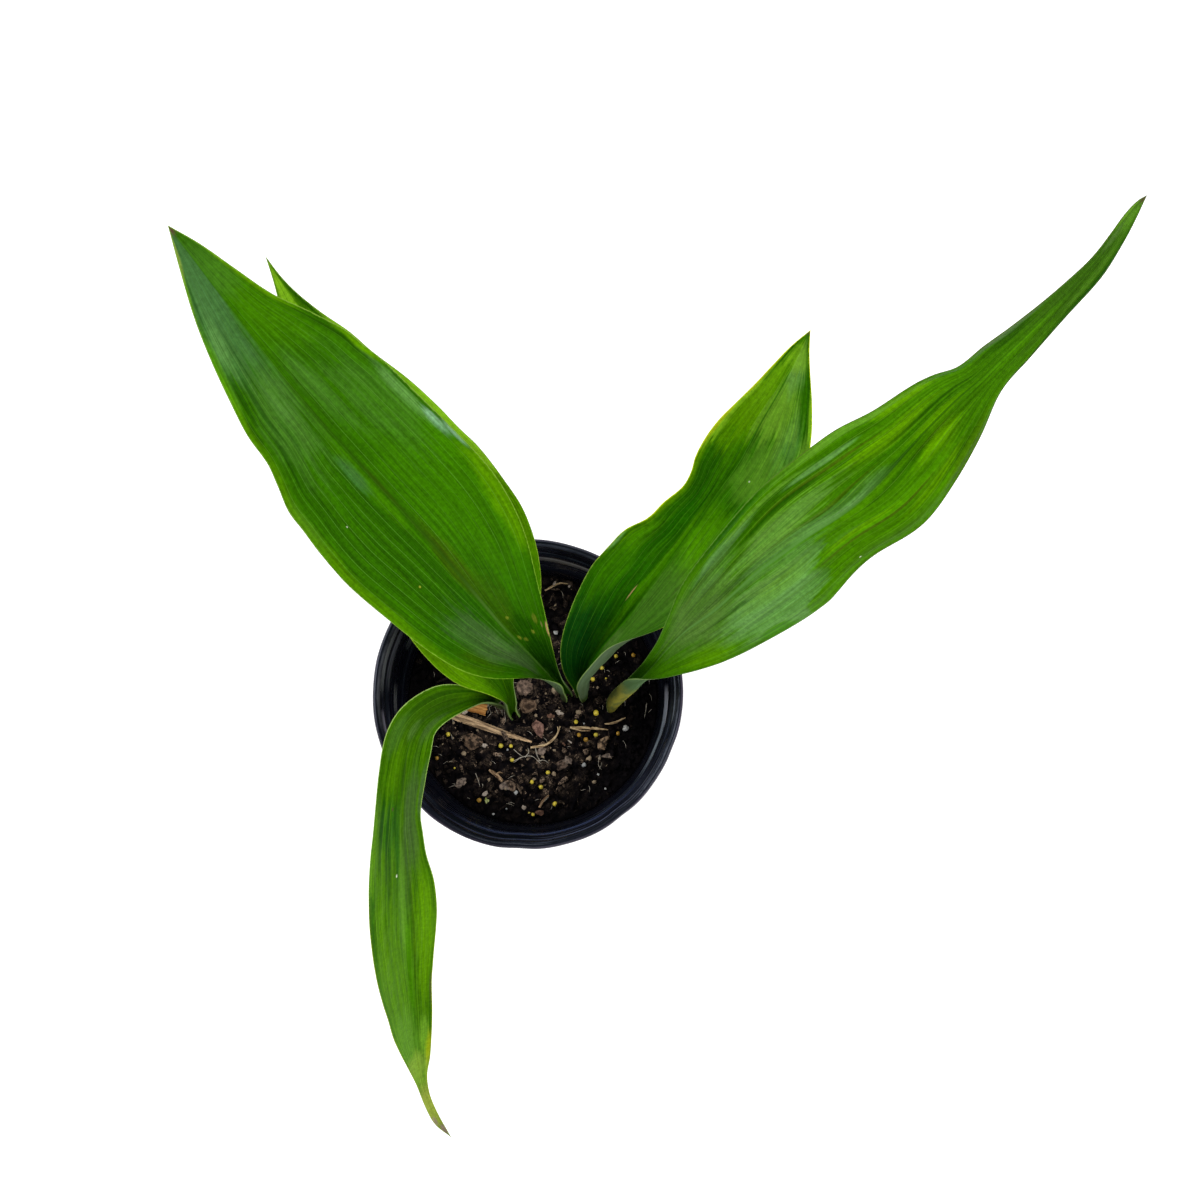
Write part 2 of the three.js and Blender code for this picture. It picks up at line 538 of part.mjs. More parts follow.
// The mix with its prills, the rhizome's channel, a plain hole for each petiole and a seat for each
// loose piece that lies on it.
function mixSolid(loosePieces) {
  let mix = mixBody();
  for (const row of PRILLS) mix = mix.add(solidOf(prill(row)));
  mix = mix.subtract(rhizomeSolid(GAP));
  for (const leaf of Object.values(LEAVES)) {
    const [x, y] = leaf.spine[0];
    const depth = MIX_HEIGHT + 5 - RHIZOME_HEIGHT;
    const hole = new THREE.CylinderGeometry(PETIOLE_HOLE_RADIUS, PETIOLE_HOLE_RADIUS, depth, 12)
      .rotateX(Math.PI / 2)
      .translate(x, y, RHIZOME_HEIGHT + depth / 2);
    mix = mix.subtract(solidOf(hole));
  }
  for (const make of loosePieces) mix = mix.subtract(solidOf(make(GAP)));
  return mix;
}

const plant = new THREE.Group();

const loose = [
  ...BARK_CHIPS.map((row, i) => [`bark_chip_${i + 1}`, (grow) => barkChip(row, grow), finish.bark]),
  ["dry_strip", dryStrip, finish.dryLeaf],
  ["dry_sheath", drySheath, finish.dryLeaf],
  ...Object.entries(TWIGS).map(([name, row]) => [name, (grow) => twig(row, grow), finish.straw]),
];

plant.add(named("pot", geometryOf(potSolid()), finish.pot));
plant.add(named("mix", geometryOf(mixSolid(loose.map(([, make]) => make))), finish.mix));
plant.add(named("rhizome", geometryOf(rhizomeSolid()), finish.rhizome));
for (const [name, leaf] of Object.entries(LEAVES)) {
  plant.add(named(name, leafGeometry(leaf), leaf.look));
}
for (const [name, make, look] of loose) {
  plant.add(named(name, geometryOf(solidOf(make(0))), look));
}

export default plant;
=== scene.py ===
"""A young cast iron plant in a thin black nursery pot: the finish of every surface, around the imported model.

Lengths are written in millimetres and turned into metres as each mesh is made.
"""

import math
import random

import bmesh
import bpy
import numpy as np
from mathutils import Euler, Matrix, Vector, noise


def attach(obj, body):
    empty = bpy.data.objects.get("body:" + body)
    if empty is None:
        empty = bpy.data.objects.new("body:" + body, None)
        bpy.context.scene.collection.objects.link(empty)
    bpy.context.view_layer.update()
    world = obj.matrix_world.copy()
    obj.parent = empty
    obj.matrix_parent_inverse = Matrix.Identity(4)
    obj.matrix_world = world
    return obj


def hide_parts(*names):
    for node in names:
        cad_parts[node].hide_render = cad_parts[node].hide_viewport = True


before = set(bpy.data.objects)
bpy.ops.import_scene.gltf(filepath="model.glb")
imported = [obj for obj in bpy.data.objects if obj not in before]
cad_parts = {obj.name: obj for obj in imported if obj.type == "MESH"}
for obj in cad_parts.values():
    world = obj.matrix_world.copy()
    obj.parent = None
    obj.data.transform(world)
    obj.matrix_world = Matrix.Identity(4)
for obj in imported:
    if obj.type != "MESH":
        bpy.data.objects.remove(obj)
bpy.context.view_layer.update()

MM = 0.001

# The pot and the mix, as the model has them.
POT_HEIGHT = 165.0
RIM_RADIUS = 82.5
BASE_RADIUS = 64.0
WALL = 1.5
FLOOR = 1.8
WALL_SLOPE = 0.079
LOWER_STEP_HEIGHT = 124.0
UPPER_STEP_HEIGHT = 150.0
STEP_OUT = 1.9
STEP_RISE = 2.0
LIP_HEIGHT = 161.0
FLOOR_CHANNEL_RISE = 3.0
DRAIN_HOLES = 8
DRAIN_WIDTH, DRAIN_HEIGHT, DRAIN_CENTRE = 13.0, 6.0, 8.0
MIX_HEIGHT = 115.0
MIX_RELIEF = 0.7
MIX_CLEARANCE = 0.3
MIX_RADIUS = BASE_RADIUS + WALL_SLOPE * MIX_HEIGHT - WALL - MIX_CLEARANCE
PETIOLE_FOOT = 108.1

# The view: almost straight down, as the plant was seen.
CAMERA_PLACE = (38.36, -46.46, 765.12)
CAMERA_TILT = 9.0
CAMERA_LENS = 34.02


# Shader building

class Shader:
    """A material's or a group's node tree. Each call adds its nodes and gives back the main output."""

    def __init__(self, tree):
        self.tree = tree

    def feed(self, socket, value):
        if isinstance(value, bpy.types.NodeSocket):
            self.tree.links.new(value, socket)
        else:
            socket.default_value = value

    def node(self, kind, sockets=None, **settings):
        made = self.tree.nodes.new(kind)
        for name, value in settings.items():
            setattr(made, name, value)
        for name, value in (sockets or {}).items():
            self.feed(made.inputs[name], value)
        return made

    def math(self, operation, a, b=0.0, clamp=False):
        made = self.node("ShaderNodeMath", {0: a, 1: b}, operation=operation, use_clamp=clamp)
        return made.outputs[0]

    def plus(self, a, b, clamp=False):
        return self.math("ADD", a, b, clamp)

    def minus(self, a, b):
        return self.math("SUBTRACT", a, b)

    def times(self, a, b, clamp=False):
        return self.math("MULTIPLY", a, b, clamp)

    def over(self, a, b):
        return self.math("DIVIDE", a, b)

    def vector(self, operation, a, b):
        return self.node("ShaderNodeVectorMath", {0: a, 1: b}, operation=operation).outputs[0]

    def remap(self, value, low, high, to_low=0.0, to_high=1.0, smooth=True):
        made = self.node(
            "ShaderNodeMapRange",
            {"Value": value, "From Min": low, "From Max": high, "To Min": to_low, "To Max": to_high},
            interpolation_type="SMOOTHSTEP" if smooth else "LINEAR",
        )
        return made.outputs["Result"]

    def mix(self, share, a, b, kind="MIX"):
        made = self.node("ShaderNodeMix", data_type="RGBA", blend_type=kind)
        self.feed(made.inputs[0], share)
        self.feed(made.inputs[6], a)
        self.feed(made.inputs[7], b)
        return made.outputs[2]

    def noise(self, vector, scale, detail=3.0, roughness=0.55):
        made = self.node(
            "ShaderNodeTexNoise",
            {"Vector": vector, "Scale": scale, "Detail": detail, "Roughness": roughness},
        )
        return made.outputs["Fac"]

    def stretched(self, x, y, x_scale, y_scale, seed=0.0, detail=3.0, roughness=0.55):
        """Noise over a flat map, with a scale of its own each way."""
        place = self.join(self.times(x, x_scale), self.times(y, y_scale), seed)
        return self.noise(place, 1.0, detail, roughness)

    def cells(self, vector, scale):
        made = self.node("ShaderNodeTexVoronoi", {"Vector": vector, "Scale": scale}, feature="F1")
        return made.outputs["Distance"]

    def bump(self, height, distance, strength):
        made = self.node(
            "ShaderNodeBump", {"Height": height, "Distance": distance, "Strength": strength}
        )
        return made.outputs["Normal"]

    def object_place(self):
        return self.node("ShaderNodeTexCoord").outputs["Object"]

    def map(self, name):
        return self.node("ShaderNodeUVMap", uv_map=name).outputs["UV"]

    def split(self, vector):
        made = self.node("ShaderNodeSeparateXYZ", {0: vector})
        return made.outputs["X"], made.outputs["Y"], made.outputs["Z"]

    def join(self, x=0.0, y=0.0, z=0.0):
        return self.node("ShaderNodeCombineXYZ", {0: x, 1: y, 2: z}).outputs[0]

    def from_midrib(self, across):
        """The place across a blade, from -1 at the left margin through 0 at the midrib to 1 at the right."""
        return self.minus(self.times(across, 2.0), 1.0)

    def group(self, tree, sockets):
        made = self.node("ShaderNodeGroup", node_tree=tree)
        for name, value in sockets.items():
            self.feed(made.inputs[name], value)
        return made.outputs


def rgb(red, green, blue):
    return (red, green, blue, 1.0)


def new_group(name, inputs, outputs):
    """An empty shader group with named sockets. Gives its shader, what comes in and what goes out."""
    tree = bpy.data.node_groups.new(name, "ShaderNodeTree")
    kinds = {"value": "NodeSocketFloat", "place": "NodeSocketVector"}
    for direction, sockets in (("INPUT", inputs), ("OUTPUT", outputs)):
        for socket, kind in sockets.items():
            tree.interface.new_socket(socket, in_out=direction, socket_type=kinds[kind])
    shader = Shader(tree)
    return shader, shader.node("NodeGroupInput").outputs, shader.node("NodeGroupOutput").inputs


def new_material(name, **surface):
    """A material with a Principled surface, whose plain sockets are set here."""
    made = bpy.data.materials.new(name)
    made.use_nodes = True
    made.node_tree.nodes.clear()
    shader = Shader(made.node_tree)
    skin = shader.node("ShaderNodeBsdfPrincipled", surface)
    out = shader.node("ShaderNodeOutputMaterial")
    shader.feed(out.inputs["Surface"], skin.outputs[0])
    return made, shader, skin.inputs


# Shared effects

def make_patch_group():
    """A soft oval patch on a blade, broken into streaks that run with the veins."""
    s, given, out = new_group(
        "blade_patch",
        {"Place": "place", "Along": "value", "Across": "value", "Length": "value",
         "Width": "value", "Strength": "value", "Streaks": "value", "Side": "value"},
        {"Mask": "value"},
    )
    across, along, _ = s.split(given["Place"])
    signed = s.from_midrib(across)
    down = s.over(s.minus(along, given["Along"]), given["Length"])
    sideways = s.over(s.minus(signed, given["Across"]), given["Width"])
    distance = s.math("SQRT", s.plus(s.times(down, down), s.times(sideways, sideways)))
    blotch = s.stretched(across, along, 9.0, 14.0)
    streak = s.stretched(across, along, 46.0, 6.0, roughness=0.65)
    wander = s.times(s.minus(blotch, 0.5), 1.1)
    ragged = s.times(s.times(s.minus(streak, 0.5), given["Streaks"]), 3.0)
    edge = s.times(s.plus(wander, ragged), s.remap(distance, 0.0, 0.5, 0.35, 1.0))
    core = s.remap(s.plus(distance, edge), 1.0, 0.4)
    gaps = s.times(s.remap(streak, 0.56, 0.42), given["Streaks"])
    kept = s.minus(1.0, s.times(gaps, 0.75))
    both = s.minus(1.0, s.math("ABSOLUTE", given["Side"]))
    own_half = s.plus(s.times(s.times(signed, given["Side"]), 30.0), both, clamp=True)
    mask = s.times(s.times(core, kept), own_half)
    s.feed(out["Mask"], s.times(mask, given["Strength"], clamp=True))
    return s.tree


def make_vein_group():
    """Parallel veins: a few clear ones, many fine ones between them, and lengthwise bands of tone."""
    s, given, out = new_group(
        "parallel_veins",
        {"Place": "place", "Count": "value", "Seed": "value"},
        {"Main": "value", "Fine": "value", "Bands": "value", "Height": "value"},
    )
    seed = given["Seed"]
    across, along, _ = s.split(given["Place"])
    signed = s.from_midrib(across)
    sway = s.stretched(signed, along, 2.0, 2.5, seed, 1.0)
    spread = s.remap(along, 0.25, 0.62, 0.62, 1.0)
    fanned = s.math("POWER", s.math("ABSOLUTE", signed), spread)
    fanned = s.times(fanned, s.math("SIGN", signed))
    swayed = s.plus(fanned, s.times(s.minus(sway, 0.5), 0.05))

    def lines(count, sharpness):
        phase = s.math("FRACT", s.plus(s.times(swayed, count), 50.0))
        ridge = s.times(s.math("ABSOLUTE", s.minus(phase, 0.5)), 2.0)
        return s.remap(ridge, sharpness, 1.0)

    index = s.times(swayed, given["Count"])
    unevenness = s.noise(s.join(index, s.times(along, 1.5), seed), 1.3, 0.0)
    main = s.times(lines(given["Count"], 0.91), s.remap(unevenness, 0.35, 0.6, 0.35, 1.0))
    fine = lines(s.times(given["Count"], 5.0), 0.3)
    fine = s.times(fine, s.stretched(swayed, along, 60.0, 6.0, seed, 2.0))
    bands = s.stretched(swayed, along, 7.0, 1.6, seed, 5.0, 0.72)
    s.feed(out["Main"], main)
    s.feed(out["Fine"], fine)
    s.feed(out["Bands"], s.remap(bands, 0.36, 0.64))
    s.feed(out["Height"], s.plus(main, s.times(fine, 0.45)))
    return s.tree


def make_flow_group():
    """How far a blade's streaks wander sideways: nothing at its margins, and a lasting bend near its tip."""
    s, given, out = new_group(
        "tissue_flow",
        {"Place": "place", "Sway": "value", "Bend": "value", "Seed": "value"},
        {"Shift": "value"},
    )
    across, along, _ = s.split(given["Place"])
    signed = s.from_midrib(across)
    inward = s.minus(1.0, s.times(signed, signed))
    wander = s.stretched(signed, along, 1.1, 5.0, given["Seed"], 1.0)
    swung = s.times(s.minus(wander, 0.5), given["Sway"])
    bent = s.times(s.remap(along, 0.54, 0.74), given["Bend"])
    s.feed(out["Shift"], s.times(s.plus(swung, bent), inward))
    return s.tree


def make_grime_group():
    """Uneven matter such as peat, bark and dry tissue: coarse lumps, fine grit and pits."""
    s, given, out = new_group(
        "grime",
        {"Place": "place", "Scale": "value"},
        {"Lumps": "value", "Grit": "value", "Height": "value"},
    )
    place = s.vector("MULTIPLY", given["Place"], s.join(given["Scale"], given["Scale"], given["Scale"]))
    lumps = s.noise(place, 1.0, 5.0, 0.6)
    grit = s.noise(place, 6.0, 4.0, 0.7)
    pits = s.remap(s.cells(place, 3.0), 0.0, 0.5)
    s.feed(out["Lumps"], s.remap(lumps, 0.32, 0.68))
    s.feed(out["Grit"], grit)
    s.feed(out["Height"], s.plus(s.times(grit, 0.6), s.times(pits, 0.4)))
    return s.tree


PATCH = make_patch_group()
VEINS = make_vein_group()
FLOW = make_flow_group()
GRIME = make_grime_group()


# Leaf tissue tones, in linear colour. Some stand for light: the six from haze down to gloss, and mist, are
# painted sheen and highlights; glow is a paler green, partly painted light; shade is painted shade.
TONES = {
    "haze": rgb(0.047, 0.145, 0.034),
    "veil": rgb(0.054, 0.160, 0.016),
    "painted_grey_sheen": rgb(0.062, 0.122, 0.034),
    "dew": rgb(0.085, 0.185, 0.030),
    "sheen": rgb(0.105, 0.262, 0.052),
    "gloss": rgb(0.13, 0.31, 0.14),
    "sage": rgb(0.050, 0.140, 0.012),
    "mist": rgb(0.052, 0.110, 0.024),
    "shade": rgb(0.020, 0.072, 0.002),
    "sap": rgb(0.095, 0.245, 0.016),
    "glow": rgb(0.135, 0.310, 0.018),
    "wilted": rgb(0.330, 0.400, 0.060),
    "night": rgb(0.0015, 0.050, 0.004),
    "jade": rgb(0.010, 0.105, 0.0002),
    "mauve": rgb(0.300, 0.190, 0.190),
    "dusk": rgb(0.034, 0.095, 0.006),
    "fresh": rgb(0.045, 0.190, 0.0003),
    "deep": rgb(0.007, 0.055, 0.0003),
    "leafy": rgb(0.062, 0.225, 0.0003),
    "olive": rgb(0.045, 0.085, 0.002),
    "lime": rgb(0.095, 0.255, 0.0003),
    "moss": rgb(0.052, 0.185, 0.0003),
    "spring": rgb(0.195, 0.430, 0.012),
    "yellow": rgb(0.34, 0.42, 0.008),
    "scoop": rgb(0.19, 0.21, 0.02),
    "brown": rgb(0.09, 0.045, 0.03),
    "tan": rgb(0.50, 0.33, 0.13),
    "shrivelled": rgb(0.30, 0.19, 0.10),
    "speck": rgb(0.30, 0.34, 0.03),
    "pale": rgb(0.7, 0.75, 0.55),
}
# How much of a glossy skin some of the tones have.
TONE_GLOSS = {"haze": 0.03, "veil": 0.03, "painted_grey_sheen": 0.03, "sheen": 0.10, "gloss": 0.55}

# How each leaf is coloured: deep, mid and light are its green. veins is the number of clear veins in a half,
# seed sets where its grain falls, and flow is how much its streaks sway and how far they bend near the tip.
# rib is the midrib's tone near the foot, its tone beyond, where that changes, and how clear it is. margin is
# the edge line's colour near the foot and near the tip. under is the underside, darker and lighter, then
# the back of its petiole and how far up that reaches.
LEAF_LOOKS = {
    "leaf_broad": {
        "deep": rgb(0.015, 0.082, 0.0003), "mid": rgb(0.028, 0.130, 0.0003),
        "light": rgb(0.045, 0.172, 0.0006), "vein": rgb(0.100, 0.275, 0.028), "veins": 9, "seed": 44.4,
        "flow": (0.05, 0.0), "rib": ("dew", "shade", 0.43, 0.6),
        "margin": (rgb(0.22, 0.42, 0.03), rgb(0.20, 0.36, 0.04)),
        # The third under tone, the back of the petiole, is dark with painted shade near the soil.
        "under": (rgb(0.066, 0.108, 0.046), rgb(0.092, 0.142, 0.070), rgb(0.026, 0.038, 0.010), 0.15),
    },
    "leaf_under": {
        "deep": rgb(0.030, 0.125, 0.0003), "mid": rgb(0.056, 0.195, 0.0005),
        "light": rgb(0.09, 0.25, 0.001), "vein": rgb(0.14, 0.33, 0.020), "veins": 9, "seed": 51.8,
        "flow": (0.05, 0.0), "rib": ("lime", "leafy", 0.5, 0.5),
        "margin": (rgb(0.30, 0.50, 0.03), rgb(0.22, 0.36, 0.05)),
        "under": (rgb(0.058, 0.112, 0.034), rgb(0.085, 0.148, 0.056), rgb(0.030, 0.052, 0.010), 0.15),
    },
    "leaf_middle": {
        "deep": rgb(0.010, 0.078, 0.0003), "mid": rgb(0.028, 0.140, 0.0003),
        "light": rgb(0.048, 0.182, 0.0006), "vein": rgb(0.085, 0.25, 0.020), "veins": 8, "seed": 59.2,
        "flow": (0.10, 0.0), "rib": ("jade", "leafy", 0.45, 0.2),
        "margin": (rgb(0.24, 0.40, 0.05), rgb(0.58, 0.70, 0.01)),
        "under": (rgb(0.066, 0.108, 0.046), rgb(0.092, 0.142, 0.070), rgb(0.045, 0.112, 0.010), 0.12),
    },
    "leaf_long": {
        "deep": rgb(0.022, 0.108, 0.0003), "mid": rgb(0.048, 0.172, 0.0003),
        "light": rgb(0.07, 0.21, 0.0008), "vein": rgb(0.12, 0.30, 0.020), "veins": 8, "seed": 66.6,
        "flow": (0.22, 0.12), "rib": ("sheen", "deep", 0.58, 0.75),
        "margin": (rgb(0.10, 0.22, 0.03), rgb(0.07, 0.12, 0.012)),
        "under": (rgb(0.058, 0.120, 0.036), rgb(0.085, 0.155, 0.060), rgb(0.440, 0.400, 0.060), 0.185),
    },
    "leaf_drooping": {
        "deep": rgb(0.013, 0.076, 0.0003), "mid": rgb(0.058, 0.174, 0.0003),
        "light": rgb(0.08, 0.21, 0.0008), "vein": rgb(0.12, 0.29, 0.015), "veins": 6, "seed": 74.0,
        "flow": (0.12, 0.0), "rib": ("mist", "sap", 0.5, 0.25),
        "margin": (rgb(0.33, 0.50, 0.12), rgb(0.34, 0.42, 0.03)),
        "under": (rgb(0.058, 0.112, 0.034), rgb(0.085, 0.148, 0.056), rgb(0.070, 0.105, 0.014), 0.14),
    },
}

# The patches of each leaf, laid one over another. Each is its tone, its place along and across (left margin
# -1, right margin 1), its half length and half width as shares, its strength, how much the veins break it
# into streaks, and the half that it keeps to (-1 or 1, and 0 for both). A strength over 1 gives a crisp edge.
LEAF_PATCHES = {
    "leaf_broad": [
        ("haze", 0.93, -0.48, 0.13, 0.85, 1.0, 0.35, -1), ("veil", 0.78, -0.40, 0.09, 0.50, 0.9, 0.7, -1),
        ("sheen", 0.90, -0.60, 0.06, 0.30, 0.35, 0.8, -1),
        ("sheen", 0.80, -0.30, 0.04, 0.25, 0.25, 0.9, -1),
        ("deep", 0.830, -0.80, 0.040, 0.07, 0.9, 0.4, -1),
        ("deep", 0.815, -0.63, 0.050, 0.06, 0.8, 0.4, -1),
        ("deep", 0.795, -0.90, 0.030, 0.05, 0.8, 0.3, -1), ("deep", 0.75, -0.72, 0.045, 0.05, 0.6, 0.5, -1),
        ("deep", 0.86, -0.50, 0.045, 0.04, 0.5, 0.5, -1), ("deep", 0.77, -0.50, 0.05, 0.04, 0.5, 0.6, -1),
        ("leafy", 0.86, -0.95, 0.06, 0.12, 0.8, 0.4, -1), ("sheen", 0.885, -0.72, 0.05, 0.16, 0.5, 0.8, -1),
        ("deep", 0.93, -0.84, 0.035, 0.07, 0.6, 0.3, -1), ("fresh", 0.60, 0.55, 0.20, 0.60, 0.55, 0.4, 1),
        ("leafy", 0.90, 0.50, 0.08, 0.60, 0.5, 0.4, 1), ("fresh", 0.43, 0.68, 0.09, 0.35, 0.6, 0.4, 1),
        ("leafy", 0.66, -0.10, 0.12, 0.10, 0.4, 0.3, -1), ("veil", 0.73, 0.60, 0.11, 0.38, 0.6, 0.7, 1),
        ("veil", 0.79, 0.22, 0.07, 0.20, 0.7, 0.6, 1), ("olive", 0.645, 0.0, 0.05, 0.035, 0.6, 0.4, 0),
        ("shade", 0.77, -0.02, 0.06, 0.04, 0.6, 0.3, 0), ("veil", 0.95, 0.35, 0.05, 0.90, 0.5, 0.4, 1),
        ("sheen", 0.715, 0.90, 0.075, 0.08, 0.75, 0.6, 1), ("gloss", 0.665, 0.93, 0.035, 0.06, 0.8, 0.4, 1),
        ("gloss", 0.635, 0.985, 0.03, 0.04, 0.9, 0.1, 1), ("lime", 0.80, 0.985, 0.05, 0.07, 0.8, 0.0, 1),
        ("haze", 0.68, -0.14, 0.045, 0.09, 0.7, 0.4, -1), ("veil", 0.68, -0.93, 0.06, 0.08, 0.5, 0.5, -1),
        ("lime", 0.60, -0.99, 0.34, 0.16, 0.55, 0.2, -1), ("lime", 0.54, 0.98, 0.11, 0.20, 0.75, 0.2, 1),
        ("olive", 0.48, 0.04, 0.13, 0.13, 0.7, 0.4, 0), ("olive", 0.39, 0.18, 0.09, 0.26, 0.6, 0.5, 1),
        ("deep", 0.33, 0.35, 0.05, 0.30, 0.8, 0.4, 1), ("olive", 0.37, -0.78, 0.05, 0.25, 0.4, 0.5, -1),
        ("deep", 0.26, 0.5, 0.07, 0.9, 0.9, 0.2, 1), ("painted_grey_sheen", 0.355, -0.40, 0.11, 0.34, 0.9, 0.5, -1),
        ("painted_grey_sheen", 0.29, -0.30, 0.06, 0.35, 0.8, 0.4, -1),
        ("sheen", 0.335, -0.26, 0.05, 0.14, 0.30, 1.0, -1),
        ("sage", 0.275, -0.80, 0.04, 0.30, 0.7, 0.4, -1), ("haze", 0.935, -0.42, 0.06, 0.45, 0.9, 0.4, -1),
        ("wilted", 0.975, -0.95, 0.03, 0.25, 0.6, 0.2, -1), ("jade", 0.41, 0.0, 0.06, 1.5, 0.25, 0.6, 0),
        ("speck", 0.362, 0.19, 0.005, 0.05, 0.7, 0.5, 1), ("speck", 0.316, 0.12, 0.007, 0.05, 0.7, 0.6, 1),
        ("speck", 0.308, 0.24, 0.006, 0.08, 0.6, 0.8, 1), ("speck", 0.320, 0.54, 0.007, 0.06, 0.8, 0.6, 1),
        ("scoop", 0.345, 0.72, 0.011, 0.07, 0.8, 0.7, 1), ("tan", 0.334, 0.84, 0.007, 0.03, 0.7, 0.5, 1),
        ("tan", 0.326, 0.97, 0.016, 0.05, 1.0, 0.0, 1), ("tan", 0.296, 1.00, 0.020, 0.03, 0.9, 0.0, 1),
        ("speck", 0.505, -0.45, 0.003, 0.02, 0.9, 0.0, 0), ("pale", 0.64, -0.57, 0.002, 0.012, 0.7, 0.0, 0),
        ("lime", 0.93, 0.97, 0.07, 0.14, 0.8, 0.2, 1), ("lime", 0.95, -0.98, 0.05, 0.12, 0.7, 0.2, -1),
        ("brown", 1.0, 0.0, 0.014, 1.5, 1.0, 0.0, 0),
    ],
    "leaf_under": [
        # Painted light: the lime patch low on the left and the spring patch at the right margin lift the parts
        # that the broad leaf shades.
        ("lime", 0.35, -0.80, 0.20, 0.50, 1.0, 0.3, -1), ("lime", 0.60, 0.80, 0.30, 0.40, 0.8, 0.4, 1),
        ("spring", 0.74, 0.96, 0.20, 0.30, 2.0, 0.1, 1), ("spring", 0.94, -0.20, 0.07, 0.80, 1.2, 0.2, -1),
        ("spring", 0.945, 0.20, 0.06, 0.35, 1.0, 0.2, 1), ("deep", 0.935, 0.85, 0.06, 0.26, 0.8, 0.3, 1),
        ("deep", 0.22, 0.0, 0.07, 0.9, 0.6, 0.4, 0), ("brown", 1.0, 0.0, 0.012, 1.5, 0.9, 0.0, 0),
    ],
    "leaf_middle": [
        # Painted light: the leafy and lime patches high on the left half lift a face that the lamps light
        # less.
        ("leafy", 0.86, -0.30, 0.12, 0.80, 1.0, 0.3, -1), ("lime", 0.86, -0.40, 0.13, 0.50, 1.0, 0.4, -1),
        ("leafy", 0.76, -0.25, 0.07, 0.22, 0.45, 0.8, -1), ("jade", 0.44, -0.40, 0.14, 0.60, 0.5, 0.4, -1),
        ("night", 0.275, -0.60, 0.15, 0.90, 0.9, 0.2, -1), ("fresh", 0.47, -0.70, 0.08, 0.35, 0.6, 0.5, -1),
        ("leafy", 0.50, -0.08, 0.26, 0.08, 0.7, 0.3, -1), ("jade", 0.61, -0.42, 0.09, 0.28, 0.7, 0.6, -1),
        ("leafy", 0.55, -0.75, 0.05, 0.24, 0.8, 0.5, -1), ("sage", 0.44, 0.40, 0.20, 0.65, 1.0, 0.45, 1),
        ("dew", 0.34, 0.15, 0.06, 0.30, 0.6, 0.3, 1), ("leafy", 0.60, 0.35, 0.10, 0.50, 0.8, 0.6, 1),
        ("deep", 0.69, -0.70, 0.06, 0.26, 0.5, 0.7, -1), ("deep", 0.40, -0.22, 0.10, 0.09, 0.6, 0.5, -1),
        ("deep", 0.46, -0.32, 0.07, 0.10, 0.6, 0.6, -1), ("deep", 0.56, -0.62, 0.04, 0.10, 0.6, 0.6, -1),
        ("sap", 0.76, 0.45, 0.10, 0.60, 0.8, 0.5, 1), ("glow", 0.88, 0.25, 0.09, 0.55, 1.0, 0.4, 1),
        ("glow", 0.80, 0.95, 0.08, 0.20, 0.8, 0.4, 1), ("glow", 0.86, -0.08, 0.08, 0.12, 0.8, 0.3, -1),
        ("lime", 0.70, -0.96, 0.26, 0.16, 0.8, 0.3, -1), ("yellow", 0.68, -1.02, 0.26, 0.07, 0.8, 0.1, -1),
        ("sheen", 0.83, 0.60, 0.07, 0.25, 0.4, 0.6, 1), ("spring", 0.90, -0.55, 0.09, 0.50, 0.25, 0.4, -1),
        ("sheen", 0.93, 0.30, 0.05, 0.50, 0.6, 0.4, 1), ("lime", 0.83, -0.80, 0.09, 0.28, 1.0, 0.5, -1),
        ("spring", 0.85, -0.97, 0.14, 0.20, 1.5, 0.4, -1),
        ("spring", 0.80, -0.88, 0.05, 0.14, 0.9, 0.5, -1),
        ("yellow", 0.79, -0.98, 0.06, 0.10, 1.0, 0.3, -1),
        ("yellow", 0.91, -1.00, 0.08, 0.11, 1.5, 0.1, -1),
        ("sheen", 0.515, -1.0, 0.035, 0.09, 0.9, 0.1, -1), ("dew", 0.955, 0.3, 0.045, 0.6, 0.6, 0.4, 1),
        ("spring", 0.955, 0.1, 0.035, 0.9, 0.6, 0.3, 0), ("spring", 0.88, 0.98, 0.05, 0.10, 0.7, 0.2, 1),
        ("tan", 0.445, -0.165, 0.022, 0.013, 1.0, 0.0, 0), ("pale", 0.735, 0.29, 0.002, 0.013, 0.7, 0.0, 0),
        ("brown", 1.0, 0.0, 0.012, 1.5, 0.9, 0.0, 0),
    ],
    "leaf_long": [
        ("dew", 0.35, -0.15, 0.10, 0.85, 0.95, 0.25, 0), ("sage", 0.37, -0.34, 0.06, 0.30, 0.7, 0.5, -1),
        ("lime", 0.33, 0.70, 0.05, 0.35, 0.5, 0.4, 1), ("lime", 0.61, 0.35, 0.10, 0.35, 0.6, 0.5, 1),
        ("leafy", 0.66, -0.55, 0.08, 0.40, 0.4, 0.6, -1), ("lime", 0.63, -0.42, 0.06, 0.18, 0.9, 0.4, -1),
        ("lime", 0.655, -0.85, 0.04, 0.18, 0.9, 0.4, -1), ("lime", 0.665, -0.05, 0.04, 0.12, 0.6, 0.4, 0),
        ("olive", 0.52, -0.16, 0.10, 0.03, 0.7, 0.3, -1), ("olive", 0.56, -0.57, 0.11, 0.04, 0.8, 0.3, -1),
        ("olive", 0.60, 0.12, 0.12, 0.03, 0.6, 0.4, 1), ("olive", 0.40, -0.62, 0.06, 0.06, 0.5, 0.4, -1),
        ("sheen", 0.44, 0.55, 0.10, 0.66, 1.0, 0.3, 1), ("sheen", 0.50, 0.28, 0.075, 0.30, 0.85, 0.5, 1),
        ("sheen", 0.49, -0.30, 0.09, 0.20, 0.95, 0.5, -1), ("sheen", 0.50, -0.09, 0.10, 0.09, 0.9, 0.3, -1),
